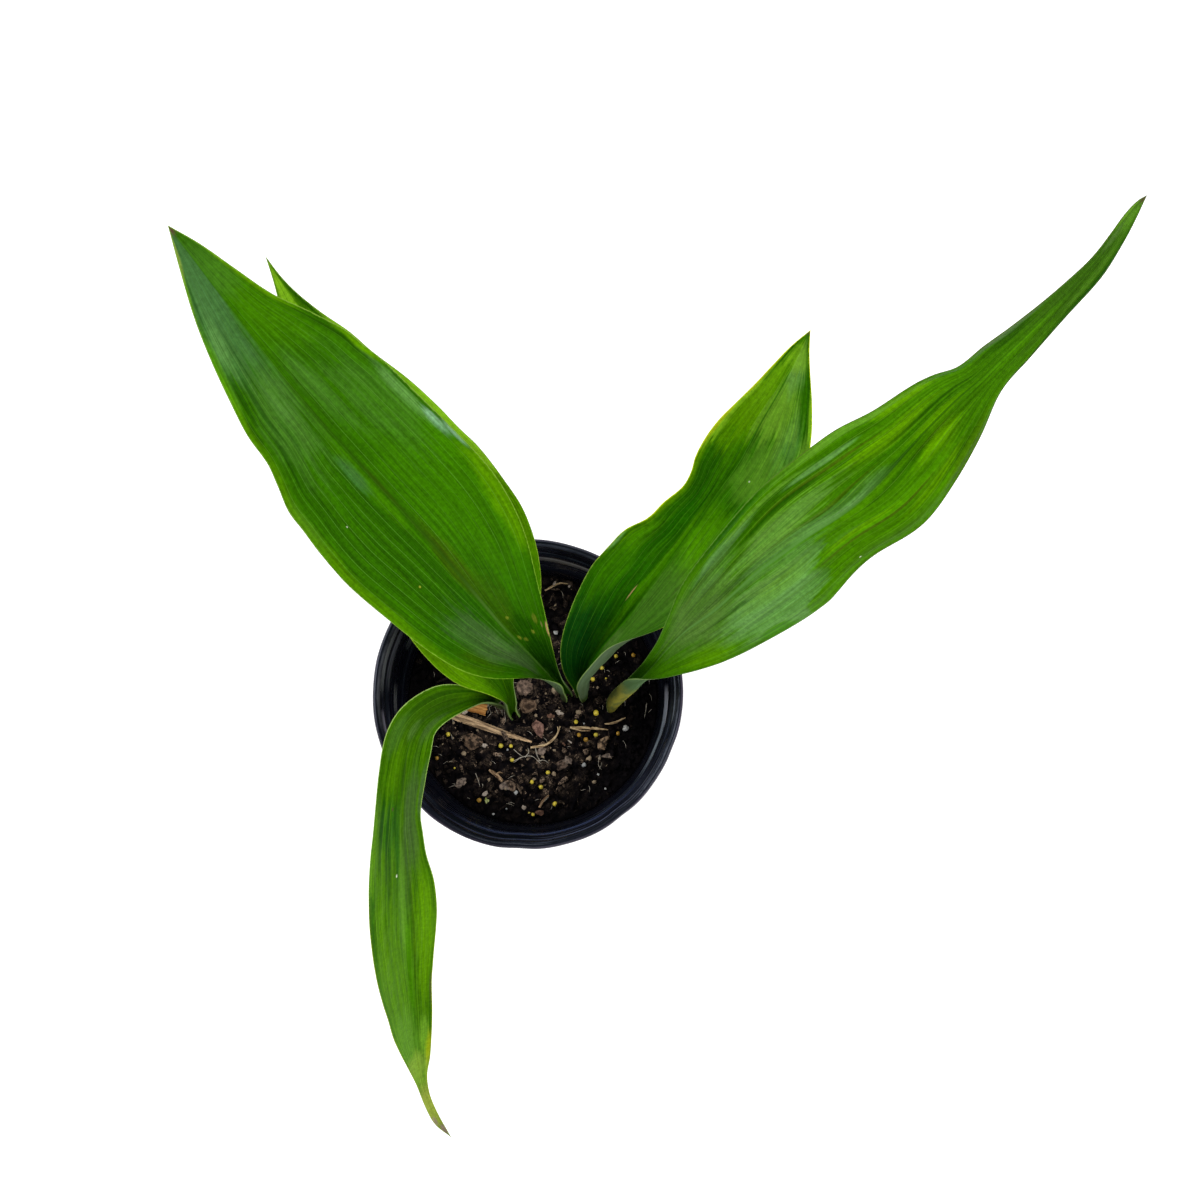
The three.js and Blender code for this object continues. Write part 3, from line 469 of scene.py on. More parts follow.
        ("sheen", 0.43, -0.74, 0.07, 0.10, 0.9, 0.3, -1),
        ("sheen", 0.565, -0.70, 0.045, 0.055, 1.0, 0.2, -1), ("sap", 0.50, -0.78, 0.06, 0.05, 0.9, 0.2, -1),
        ("jade", 0.47, -0.96, 0.06, 0.11, 0.6, 0.2, -1), ("sap", 0.59, -0.93, 0.10, 0.10, 0.9, 0.4, -1),
        ("sheen", 0.55, -0.03, 0.06, 0.05, 0.9, 0.2, 0), ("glow", 0.49, -0.30, 0.10, 0.25, 0.55, 0.7, -1),
        ("sheen", 0.41, -0.55, 0.05, 0.20, 0.4, 0.7, -1), ("fresh", 0.415, 0.95, 0.03, 0.14, 1.6, 0.2, 1),
        ("glow", 0.46, 0.25, 0.07, 0.22, 0.5, 0.7, 1), ("deep", 0.67, -0.30, 0.07, 0.05, 0.7, 0.3, 0),
        ("moss", 0.580, 0.55, 0.085, 0.75, 4.0, 0.0, 1), ("moss", 0.500, 0.98, 0.040, 0.22, 4.0, 0.0, 1),
        ("lime", 0.56, 0.42, 0.05, 0.07, 0.9, 0.3, 1), ("lime", 0.63, 0.66, 0.05, 0.12, 0.9, 0.4, 1),
        ("lime", 0.65, 0.24, 0.04, 0.12, 0.8, 0.3, 1), ("deep", 0.61, 0.13, 0.05, 0.07, 0.7, 0.3, 1),
        ("dusk", 0.575, 0.84, 0.06, 0.10, 0.7, 0.4, 1), ("olive", 0.665, 0.90, 0.05, 0.20, 0.5, 0.4, 1),
        ("fresh", 0.60, 0.45, 0.08, 0.45, 0.4, 1.0, 1), ("olive", 0.57, 0.53, 0.085, 0.035, 0.8, 0.2, 1),
        ("deep", 0.51, -0.52, 0.08, 0.06, 0.8, 0.3, -1), ("deep", 0.45, -0.93, 0.06, 0.09, 0.6, 0.4, -1),
        ("dusk", 0.88, 0.0, 0.17, 2.0, 0.8, 0.4, 0), ("deep", 0.76, -0.60, 0.05, 0.35, 0.7, 0.5, -1),
        # Painted shade: the deep patch at the right margin near the tip.
        ("leafy", 0.77, 0.15, 0.08, 0.30, 0.6, 0.5, 0), ("deep", 0.86, 1.00, 0.15, 0.20, 1.0, 0.0, 1),
        ("sap", 0.965, 0.15, 0.04, 0.7, 0.7, 0.4, 0), ("sap", 0.88, 0.60, 0.07, 0.20, 0.5, 0.5, 1),
        ("glow", 0.965, -0.75, 0.04, 0.35, 0.8, 0.3, -1), ("dew", 0.925, -0.25, 0.03, 0.40, 0.8, 0.4, 0),
        ("painted_grey_sheen", 0.77, -0.88, 0.06, 0.22, 0.9, 0.4, -1), ("brown", 0.80, -1.0, 0.12, 0.10, 0.35, 0.2, -1),
        ("pale", 0.545, 0.84, 0.0015, 0.012, 0.6, 0.0, 0), ("brown", 1.0, 0.0, 0.02, 1.5, 0.9, 0.0, 0),
    ],
    "leaf_drooping": [
        ("shade", 0.235, 0.20, 0.075, 1.0, 0.85, 0.4, 0), ("mist", 0.25, -0.55, 0.05, 0.30, 0.6, 0.5, -1),
        ("sage", 0.285, 0.68, 0.030, 0.30, 0.9, 0.3, 1), ("dew", 0.272, 0.10, 0.020, 0.18, 0.6, 0.4, 0),
        ("mist", 0.40, -0.42, 0.12, 0.45, 0.95, 0.4, -1), ("mist", 0.50, -0.10, 0.10, 0.25, 0.5, 0.6, -1),
        ("painted_grey_sheen", 0.36, -0.88, 0.06, 0.14, 0.8, 0.4, -1), ("shade", 0.335, 0.02, 0.035, 0.12, 0.8, 0.4, 0),
        ("jade", 0.395, 0.36, 0.06, 0.42, 0.8, 0.8, 1), ("deep", 0.39, 0.24, 0.065, 0.09, 0.9, 0.4, 1),
        ("deep", 0.40, 0.44, 0.060, 0.07, 0.9, 0.4, 1), ("deep", 0.385, 0.68, 0.045, 0.10, 0.9, 0.4, 1),
        ("deep", 0.47, 0.42, 0.07, 0.12, 0.8, 0.6, 1), ("deep", 0.42, 0.66, 0.07, 0.08, 0.8, 0.6, 1),
        ("jade", 0.45, 0.15, 0.06, 0.12, 0.6, 0.5, 0), ("jade", 0.56, 0.90, 0.13, 0.06, 0.5, 0.5, 1),
        ("sage", 0.37, 0.90, 0.03, 0.14, 0.9, 0.2, 1), ("lime", 0.42, 0.92, 0.08, 0.12, 0.7, 0.3, 1),
        ("sap", 0.54, 0.02, 0.14, 0.16, 0.7, 0.3, 0), ("lime", 0.66, 0.55, 0.20, 0.60, 0.5, 0.5, 1),
        ("leafy", 0.68, -0.08, 0.14, 0.16, 0.7, 0.3, 0), ("lime", 0.62, -0.66, 0.17, 0.40, 0.9, 0.4, -1),
        ("olive", 0.57, -0.27, 0.14, 0.05, 0.4, 0.5, -1), ("brown", 0.71, -0.98, 0.05, 0.12, 0.5, 0.3, -1),
        ("sap", 0.80, 0.35, 0.09, 1.0, 0.85, 0.4, 0), ("glow", 0.80, -0.58, 0.05, 0.35, 0.9, 0.3, -1),
        ("yellow", 0.835, -0.84, 0.055, 0.30, 0.8, 0.4, -1),
        ("speck", 0.86, -0.75, 0.03, 0.20, 0.6, 0.5, -1), ("glow", 0.865, 0.0, 0.045, 1.6, 0.85, 0.3, 0),
        ("wilted", 0.85, 0.2, 0.035, 1.5, 0.35, 0.5, 0), ("wilted", 0.93, 0.1, 0.065, 2.5, 0.95, 0.3, 0),
        ("mauve", 0.955, 0.6, 0.012, 0.9, 0.7, 0.2, 0), ("mauve", 0.98, 0.0, 0.015, 2.0, 0.8, 0.2, 0),
        ("shrivelled", 1.01, 0.0, 0.02, 2.5, 0.9, 0.1, 0), ("pale", 0.485, 0.20, 0.004, 0.035, 0.9, 0.0, 0),
        ("brown", 0.375, 0.33, 0.004, 0.03, 0.8, 0.0, 0),
    ],
}


# Leaf materials

def leaf_upper_material(name, look):
    """Green upper face: lengthwise bands, parallel veins, yellowed patches and a thin pale margin,
    with patches of painted sheen, highlight and shade.
    """
    made, s, skin = new_material(
        name + "_upper",
        **{"Specular IOR Level": 0.025, "Specular Tint": rgb(0.8, 1.0, 0.12), "Coat Roughness": 0.22}
    )
    laid = s.map("blade")
    seed = look["seed"]
    sway, bend = look["flow"]
    shift = s.group(FLOW, {"Place": laid, "Sway": sway, "Bend": bend, "Seed": seed})["Shift"]
    place = s.vector("ADD", laid, s.join(shift))
    veins = s.group(VEINS, {"Place": place, "Count": float(look["veins"]), "Seed": seed})
    colour = s.mix(veins["Bands"], look["deep"], look["mid"])
    colour = s.mix(s.times(veins["Fine"], 0.55), colour, look["light"])
    waxy = 0.0
    for tone, centre_along, centre_across, length, width, strength, streaks, side in LEAF_PATCHES[name]:
        mask = s.group(PATCH, {
            "Place": place, "Along": centre_along, "Across": centre_across, "Length": length,
            "Width": width, "Strength": strength, "Streaks": streaks, "Side": float(side),
        })["Mask"]
        colour = s.mix(mask, colour, TONES[tone])
        if tone in TONE_GLOSS:
            waxy = s.math("MAXIMUM", waxy, s.times(mask, TONE_GLOSS[tone]))
    across, along, _ = s.split(place)
    mottle = s.noise(s.object_place(), 520.0, 5.0, 0.72)
    streak = s.stretched(across, along, 85.0, 8.0, seed, 4.0, 0.7)
    mottled = s.remap(mottle, 0.3, 0.7, 0.75, 1.25, smooth=False)
    mottled = s.times(mottled, s.remap(streak, 0.3, 0.7, 0.66, 1.36, smooth=False))
    colour = s.mix(1.0, colour, s.join(mottled, mottled, mottled), "MULTIPLY")
    colour = s.mix(s.times(veins["Main"], 0.72), colour, look["vein"])
    near_tone, far_tone, change, strength = look["rib"]
    from_rib = s.math("ABSOLUTE", s.from_midrib(across))
    fading = s.remap(along, 0.95, 0.55, strength * 0.3, strength)
    midrib = s.times(s.remap(from_rib, 0.035, 0.006), fading)
    rib_tone = s.mix(s.remap(along, change - 0.06, change + 0.06), TONES[near_tone], TONES[far_tone])
    colour = s.mix(midrib, colour, rib_tone)
    from_margin, down, _ = s.split(s.map("span"))
    foot, tip = look["margin"]
    edge_tone = s.mix(s.remap(along, 0.42, 0.6), foot, tip)
    uneven = s.noise(s.join(0.0, s.times(down, 60.0), seed), 1.0, 3.0)
    edge_width = s.remap(uneven, 0.3, 0.7, 0.0028, 0.0065)
    edge = s.remap(s.over(from_margin, edge_width), 1.0, 0.4)
    colour = s.mix(s.times(edge, 0.85), colour, edge_tone)
    s.feed(skin["Base Color"], colour)
    if waxy != 0.0:
        s.feed(skin["Coat Weight"], waxy)
    sheen = s.stretched(across, along, 30.0, 5.0, seed, 2.0)
    s.feed(skin["Roughness"], s.remap(sheen, 0.25, 0.75, 0.30, 0.44))
    fine = s.stretched(across, along, 260.0, 60.0, seed, 2.0)
    s.feed(skin["Normal"], s.bump(s.plus(veins["Height"], s.times(fine, 0.5)), 0.00012, 0.55))
    return made


def leaf_under_material(name, look):
    """Pale grey-green underside with raised veins, and a back of the petiole in its own tone,
    with painted shade along its sides.
    """
    made, s, skin = new_material(name + "_under", **{"Specular IOR Level": 0.1})
    place = s.map("blade")
    veins = s.group(VEINS, {"Place": place, "Count": 10.0, "Seed": 61.0})
    pale, grey, foot, foot_share = look["under"]
    colour = s.mix(veins["Bands"], pale, grey)
    colour = s.mix(s.times(veins["Main"], 0.5), colour, rgb(0.15, 0.23, 0.09))
    colour = s.mix(s.times(veins["Fine"], 0.35), colour, rgb(0.045, 0.10, 0.025))
    across, along, _ = s.split(place)
    blotch = s.stretched(across, along, 6.0, 30.0)
    on_petiole = s.remap(along, foot_share, foot_share - 0.06)
    worn = s.times(on_petiole, s.remap(blotch, 0.34, 0.58, 0.35, 1.0))
    colour = s.mix(worn, colour, foot)
    from_rib = s.math("ABSOLUTE", s.from_midrib(across))
    # Painted shade along the sides of the round petiole.
    painted_side_shade = s.times(on_petiole, s.remap(from_rib, 0.45, 0.95, 0.0, 0.8))
    colour = s.mix(painted_side_shade, colour, rgb(0.040, 0.050, 0.012))
    from_margin, _, _ = s.split(s.map("span"))
    colour = s.mix(s.remap(from_margin, 0.006, 0.002, 0.0, 0.8), colour, rgb(0.25, 0.38, 0.12))
    s.feed(skin["Base Color"], colour)
    s.feed(skin["Roughness"], s.remap(veins["Bands"], 0.0, 1.0, 0.42, 0.55))
    s.feed(skin["Normal"], s.bump(veins["Height"], 0.00015, 0.6))
    return made


# Pot, mix and debris materials

# Painted highlights and reflections on the black plastic: heading and reach in radians, from and to what
# height in metres, how strongly, and its tone.
POT_PAINTED_SHINES = [
    (-0.09, 0.18, 0.1290, 0.1440, 1.00, rgb(0.640, 0.650, 0.780)),
    (-0.32, 0.36, 0.1285, 0.1400, 0.90, rgb(0.360, 0.420, 0.500)),
    (-0.42, 0.09, 0.1300, 0.1380, 0.80, rgb(0.480, 0.560, 0.620)),
    (-0.03, 0.22, 0.1535, 0.1600, 0.95, rgb(0.220, 0.250, 0.310)),
    (-0.75, 0.50, 0.1290, 0.1440, 0.70, rgb(0.050, 0.060, 0.080)),
    (-0.85, 0.60, 0.1540, 0.1600, 0.60, rgb(0.070, 0.080, 0.110)),
    (-1.35, 0.90, 0.1380, 0.1500, 0.80, rgb(0.050, 0.070, 0.150)),
    (-1.50, 0.80, 0.1532, 0.1585, 0.90, rgb(0.105, 0.130, 0.230)),
    (1.55, 0.80, 0.1395, 0.1475, 0.95, rgb(0.220, 0.210, 0.205)),
    (1.50, 0.90, 0.1265, 0.1380, 0.60, rgb(0.030, 0.034, 0.050)),
    (2.90, 0.30, 0.1560, 0.1625, 1.00, rgb(0.250, 0.256, 0.280)),
    (2.88, 0.28, 0.1490, 0.1525, 0.90, rgb(0.150, 0.150, 0.180)),
    (3.36, 0.11, 0.1565, 0.1615, 0.90, rgb(0.250, 0.240, 0.300)),
    (3.17, 0.13, 0.1330, 0.1400, 0.90, rgb(0.140, 0.145, 0.145)),
    (2.69, 0.12, 0.1280, 0.1360, 0.80, rgb(0.080, 0.090, 0.095)),
]
# Painted highlights on the inner edge of the rolled rim in the same way: heading, reach, strength and tone.
RIM_PAINTED_SHINES = [
    (1.5, 0.70, 0.9, rgb(0.050, 0.056, 0.076)),
    (3.0, 0.50, 1.0, rgb(0.090, 0.092, 0.110)),
]


def pot_material():
    """Thin black plastic: blue-grey scuffs with painted sheen, painted highlights in rings round the wall,
    dust low on its inside.
    """
    made, s, skin = new_material(
        "black_plastic", **{"Specular IOR Level": 0.3, "Specular Tint": rgb(0.74, 0.82, 1.0)}
    )
    place = s.object_place()
    x, y, z = s.split(place)
    turn = s.math("ARCTAN2", y, x)
    radius = s.math("SQRT", s.plus(s.times(x, x), s.times(y, y)))
    round_wall = s.join(s.times(turn, 1.6), 0.0, s.times(z, 260.0))
    streak = s.noise(round_wall, 1.0, 4.0, 0.6)
    thin = s.noise(s.join(s.times(turn, 0.9), 0.0, s.times(z, 760.0)), 1.0, 3.0, 0.6)
    blotch = s.noise(place, 45.0, 4.0, 0.6)

    # The wall's middle surface, which tells its inside from its outside.
    slope = s.plus(s.times(z, WALL_SLOPE), (BASE_RADIUS - WALL / 2) * MM)
    lower_step = s.times(s.math("GREATER_THAN", z, (LOWER_STEP_HEIGHT + 1) * MM), STEP_OUT * MM)
    upper_step = s.times(s.math("GREATER_THAN", z, (UPPER_STEP_HEIGHT + 1) * MM), STEP_OUT * MM)
    middle = s.plus(slope, s.plus(lower_step, upper_step))
    inside = s.remap(s.minus(radius, middle), 0.0003, -0.0003)

    # Scuffs with painted sheen in them, and thin pale lines of painted sheen, strongest between the steps
    # and weak on top of the rim.
    upper = s.remap(z, LOWER_STEP_HEIGHT * MM, UPPER_STEP_HEIGHT * MM, 0.12, 1.0)
    worn = s.times(upper, s.remap(blotch, 0.36, 0.62, 0.35, 1.0))
    top = s.times(s.remap(z, 0.1615, 0.1635), s.remap(radius, 0.0790, 0.0798))
    off_top = s.remap(top, 0.0, 1.0, 1.0, 0.15)
    scuff_and_sheen = s.times(s.times(worn, s.remap(streak, 0.38, 0.64)), off_top)
    colour = s.mix(scuff_and_sheen, rgb(0.0022, 0.0028, 0.0062), rgb(0.012, 0.015, 0.026))
    line = s.times(s.times(worn, s.remap(thin, 0.55, 0.63, 0.0, 0.6)), off_top)
    colour = s.mix(line, colour, rgb(0.075, 0.082, 0.115))

    def painted_shine(colour, heading, reach, ragged, band, strength, tone):
        """The colour with a painted lobe of shine about a heading, kept to a band and broken by ragged."""
        facing = s.math("COSINE", s.minus(turn, heading))
        lobe = s.times(s.remap(facing, math.cos(reach), 1.0), ragged)
        return s.mix(s.times(s.times(lobe, band), strength), colour, tone)

    for heading, reach, low, high, strength, tone in POT_PAINTED_SHINES:
        from_middle = s.math("ABSOLUTE", s.minus(z, (low + high) / 2))
        band = s.times(s.remap(from_middle, (high - low) * 0.6, (high - low) * 0.3), inside)
        colour = painted_shine(colour, heading, reach, s.remap(thin, 0.36, 0.54, 0.35, 1.0), band, strength, tone)
    lip = s.times(s.remap(z, 0.1618, 0.1628), s.remap(radius, 0.0801, 0.0793))
    for heading, reach, strength, tone in RIM_PAINTED_SHINES:
        colour = painted_shine(colour, heading, reach, s.remap(blotch, 0.34, 0.56, 0.25, 1.0), lip, strength, tone)

    outer = s.remap(radius, 0.0808, 0.0820)
    faded = s.times(outer, s.remap(blotch, 0.35, 0.6, 0.3, 0.8))
    colour = s.mix(faded, colour, rgb(0.034, 0.022, 0.042))
    foot = s.remap(z, 0.128, 0.1155)
    specks = s.remap(s.noise(place, 900.0, 3.0, 0.7), 0.52, 0.72)
    dust = s.times(s.times(inside, foot), specks)
    colour = s.mix(s.times(dust, 0.5), colour, rgb(0.04, 0.028, 0.020))
    s.feed(skin["Base Color"], colour)
    gloss = s.remap(s.noise(round_wall, 1.7, 3.0), 0.3, 0.7, 0.10, 0.32)
    rough = s.plus(gloss, s.times(dust, 0.4))
    s.feed(skin["Roughness"], s.plus(rough, s.times(outer, 0.3), clamp=True))
    dents = s.noise(place, 28.0, 3.0, 0.5)
    grain = s.noise(round_wall, 3.0, 4.0, 0.6)
    s.feed(skin["Normal"], s.bump(s.plus(dents, s.times(grain, 0.12)), 0.0022, 0.5))
    return made


def mix_material():
    """Damp potting mix: near black peat with brown fibre and grit. The map shade tells the crumbs apart,
    and its paleness carries painted shade.
    """
    made, s, skin = new_material("potting_mix", **{"Specular IOR Level": 0.03})
    place = s.object_place()
    grime = s.group(GRIME, {"Place": place, "Scale": 260.0})
    shade, warm, _ = s.split(s.map("shade"))
    dark = s.mix(grime["Lumps"], rgb(0.0004, 0.0004, 0.0009), rgb(0.0055, 0.0042, 0.0050))
    brown = s.mix(s.remap(grime["Grit"], 0.40, 0.62), rgb(0.016, 0.010, 0.008), rgb(0.400, 0.285, 0.200))
    colour = s.mix(s.times(shade, s.remap(grime["Grit"], 0.38, 0.58, 0.12, 1.0)), dark, brown)
    colour = s.mix(s.remap(warm, 0.8, 1.0, 0.0, 0.75), colour, rgb(0.42, 0.32, 0.21))
    s.feed(skin["Base Color"], colour)
    s.feed(skin["Roughness"], s.remap(grime["Grit"], 0.3, 0.7, 0.55, 0.95))
    s.feed(skin["Normal"], s.bump(grime["Height"], 0.0004, 0.7))
    return made


def dry_material(name, dark, light, scale, stretch, roughness, relief):
    """Dead matter such as bark and straw: two tones, drawn out by stretch where the piece has a grain map."""
    made, s, skin = new_material(name, **{"Specular IOR Level": 0.2})
    place = s.vector("MULTIPLY", s.map("grain"), stretch) if stretch else s.object_place()
    grime = s.group(GRIME, {"Place": place, "Scale": scale})
    colour = s.mix(s.remap(grime["Lumps"], 0.1, 0.9), dark, light)
    colour = s.mix(s.remap(grime["Grit"], 0.56, 0.42, 0.0, 0.5), colour, dark)
    s.feed(skin["Base Color"], colour)
    most = min(roughness + 0.2, 1.0)
    s.feed(skin["Roughness"], s.remap(grime["Grit"], 0.3, 0.7, roughness - 0.15, most))
    s.feed(skin["Normal"], s.bump(grime["Height"], relief, 0.8))
    return made


def prill_material(name, base, other):
    """A round coated prill: a skin of resin over a coloured grain, with some soil on it."""
    made, s, skin = new_material(name, **{"Specular IOR Level": 0.5})
    place = s.object_place()
    shade, _, _ = s.split(s.map("shade"))
    colour = s.mix(shade, base, other)
    soil = s.remap(s.noise(place, 1100.0, 3.0, 0.6), 0.56, 0.68)
    colour = s.mix(s.times(soil, 0.6), colour, rgb(0.05, 0.03, 0.015))
    s.feed(skin["Base Color"], colour)
    s.feed(skin["Roughness"], s.remap(soil, 0.0, 1.0, 0.28, 0.8))
    s.feed(skin["Normal"], s.bump(s.noise(place, 1500.0, 2.0), 0.0001, 0.4))
    return made


# Mesh building

def new_piece(name, points, faces, materials, replaced=(), maps=None, kinds=None, flat=False):
    """A mesh piece of points in millimetres. maps gives two numbers a point; kinds a material a face."""
    mesh = bpy.data.meshes.new(name)
    mesh.from_pydata((np.asarray(points, float) * MM).tolist(), [], [tuple(face) for face in faces])
    corner_points = np.zeros(len(mesh.loops), dtype=int)
    mesh.loops.foreach_get("vertex_index", corner_points)
    for map_name, values in (maps or {}).items():
        layer = mesh.uv_layers.new(name=map_name)
        layer.uv.foreach_set("vector", np.asarray(values, float)[corner_points].astype(np.float32).ravel())
    for material in materials:
        mesh.materials.append(material)
    if kinds is not None:
        mesh.polygons.foreach_set("material_index", np.asarray(kinds, dtype=np.int32))
    mesh.polygons.foreach_set("use_smooth", [not flat] * len(mesh.polygons))
    mesh.update()
    piece = bpy.data.objects.new(name, mesh)
    bpy.context.scene.collection.objects.link(piece)
    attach(piece, "root")
    if replaced:
        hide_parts(*replaced)
    return piece


def grid_faces(rows, columns, start=0, turned=False, closed=False):
    """Quads of a grid of points held row by row; closed joins its last column to its first."""
    faces = []
    for i in range(rows - 1):
        for j in range(columns if closed else columns - 1):
            k = (j + 1) % columns
            a, b = start + i * columns + j, start + i * columns + k
            face = (a, b, b + columns, a + columns)
            faces.append(face[::-1] if turned else face)
    return faces


def curve_at(knots, share):
    """A value along a leaf, from a smooth curve through (share of the length, value) knots."""
    at = np.array([knot[0] for knot in knots], float)
    value = np.array([knot[1] for knot in knots], float)
    before = np.maximum(np.arange(len(at)) - 1, 0)
    after = np.minimum(np.arange(len(at)) + 1, len(at) - 1)
    slope = (value[after] - value[before]) / (at[after] - at[before])
    i = np.clip(np.searchsorted(at, share, side="left") - 1, 0, len(at) - 2)
    step = at[i + 1] - at[i]
    u = np.clip((share - at[i]) / step, 0, 1)
    return (
        value[i] * (2 * u**3 - 3 * u**2 + 1)
        + step * slope[i] * (u**3 - 2 * u**2 + u)
        + value[i + 1] * (3 * u**2 - 2 * u**3)
        + step * slope[i + 1] * (u**3 - u**2)
    )


def spaced_curve(points, steps):
    """steps + 1 points at even distances along the smooth curve through the points, and its length."""
    p = np.array(points, float)
    q = np.vstack([2 * p[0] - p[1], p, 2 * p[-1] - p[-2]])
    u = np.linspace(0, 1, 60, endpoint=False)[:, None]
    fine = []
    for i in range(len(p) - 1):
        leave, arrive = (q[i + 2] - q[i]) / 2, (q[i + 3] - q[i + 1]) / 2
        fine.append(
            q[i + 1] * (2 * u**3 - 3 * u**2 + 1) + leave * (u**3 - 2 * u**2 + u)
            + q[i + 2] * (3 * u**2 - 2 * u**3) + arrive * (u**3 - u**2)
        )
    fine = np.vstack(fine + [p[-1:]])
    run = np.r_[0, np.cumsum(np.linalg.norm(np.diff(fine, axis=0), axis=1))]
    wanted = np.linspace(0, run[-1], steps + 1)
    return np.stack([np.interp(wanted, run, fine[:, k]) for k in range(3)], axis=1), run[-1]


def gathered(parts):
    """Several meshes as one. Each part is its points, its faces, and a map row for each point."""
    points, faces, rows, start = [], [], [], 0
    for part_points, part_faces, part_rows in parts:
        points.append(part_points)
        faces += [tuple(start + k for k in face) for face in part_faces]
        rows += part_rows
        start += len(part_points)
    return np.vstack(points), faces, rows


def turned_about_up(points, degrees):
    a = math.radians(degrees)
    spin = np.array([[math.cos(a), -math.sin(a), 0], [math.sin(a), math.cos(a), 0], [0, 0, 1]])
    return points @ spin.T


def smooth_noise(x, y, seed):
    """A soft repeatable wobble of two arrays, from -1 to 1: crossed waves with seeded phases."""
    dice = random.Random(seed)
    total = np.zeros(np.broadcast(x, y).shape)
    for _ in range(7):
        turn = dice.uniform(0, math.pi)
        phase = dice.uniform(0, 2 * math.pi)
        pace = dice.uniform(0.6, 1.7)
        total += np.sin(pace * (x * math.cos(turn) + y * math.sin(turn)) * 2 * math.pi + phase)
    return total / 3.2


# The leaves

STATIONS = 240
HALF_COLUMNS = 44
BLADE_THICKNESS = 0.42
MARGIN_THICKNESS = 0.26
MIDRIB_DEPTH = 0.32
MIDRIB_WIDTH = 1.1
VEIN_RELIEF = 0.07
TISSUE_RELIEF = 0.22
# The length and width of one swell of the tissue, and the seed of the first leaf's swells.
TISSUE_SWELL = (26, 7)
FIRST_TISSUE_SEED = 11

# The shares of the length at which the petiole opens into a blade, and over how much.
BLADE_START, BLADE_ONSET = 0.16, 0.08
# Waves and pleats: where waves start, the share over which either grows, the half width from which they
# are full, the share before the tip where they die away, and how much later the right half's waves come.
WAVE_START = 0.25
RELIEF_ONSET = 0.15
OPEN_HALF_WIDTH = 20
TIP_SHARE = 0.1
RIGHT_WAVE_LAG = 0.35
# How much thicker than a blade the petiole's rolled edge is.
PETIOLE_RIM = 0.35

# The thickness at the midrib: a thick petiole, then a keel that fades towards the tip.
KEEL = [[0, 2.6], [0.15, 2.4], [0.3, 1.6], [0.6, 1.05], [1, 0.5]]
NO_ROLL = [[0, 0], [1, 0]]

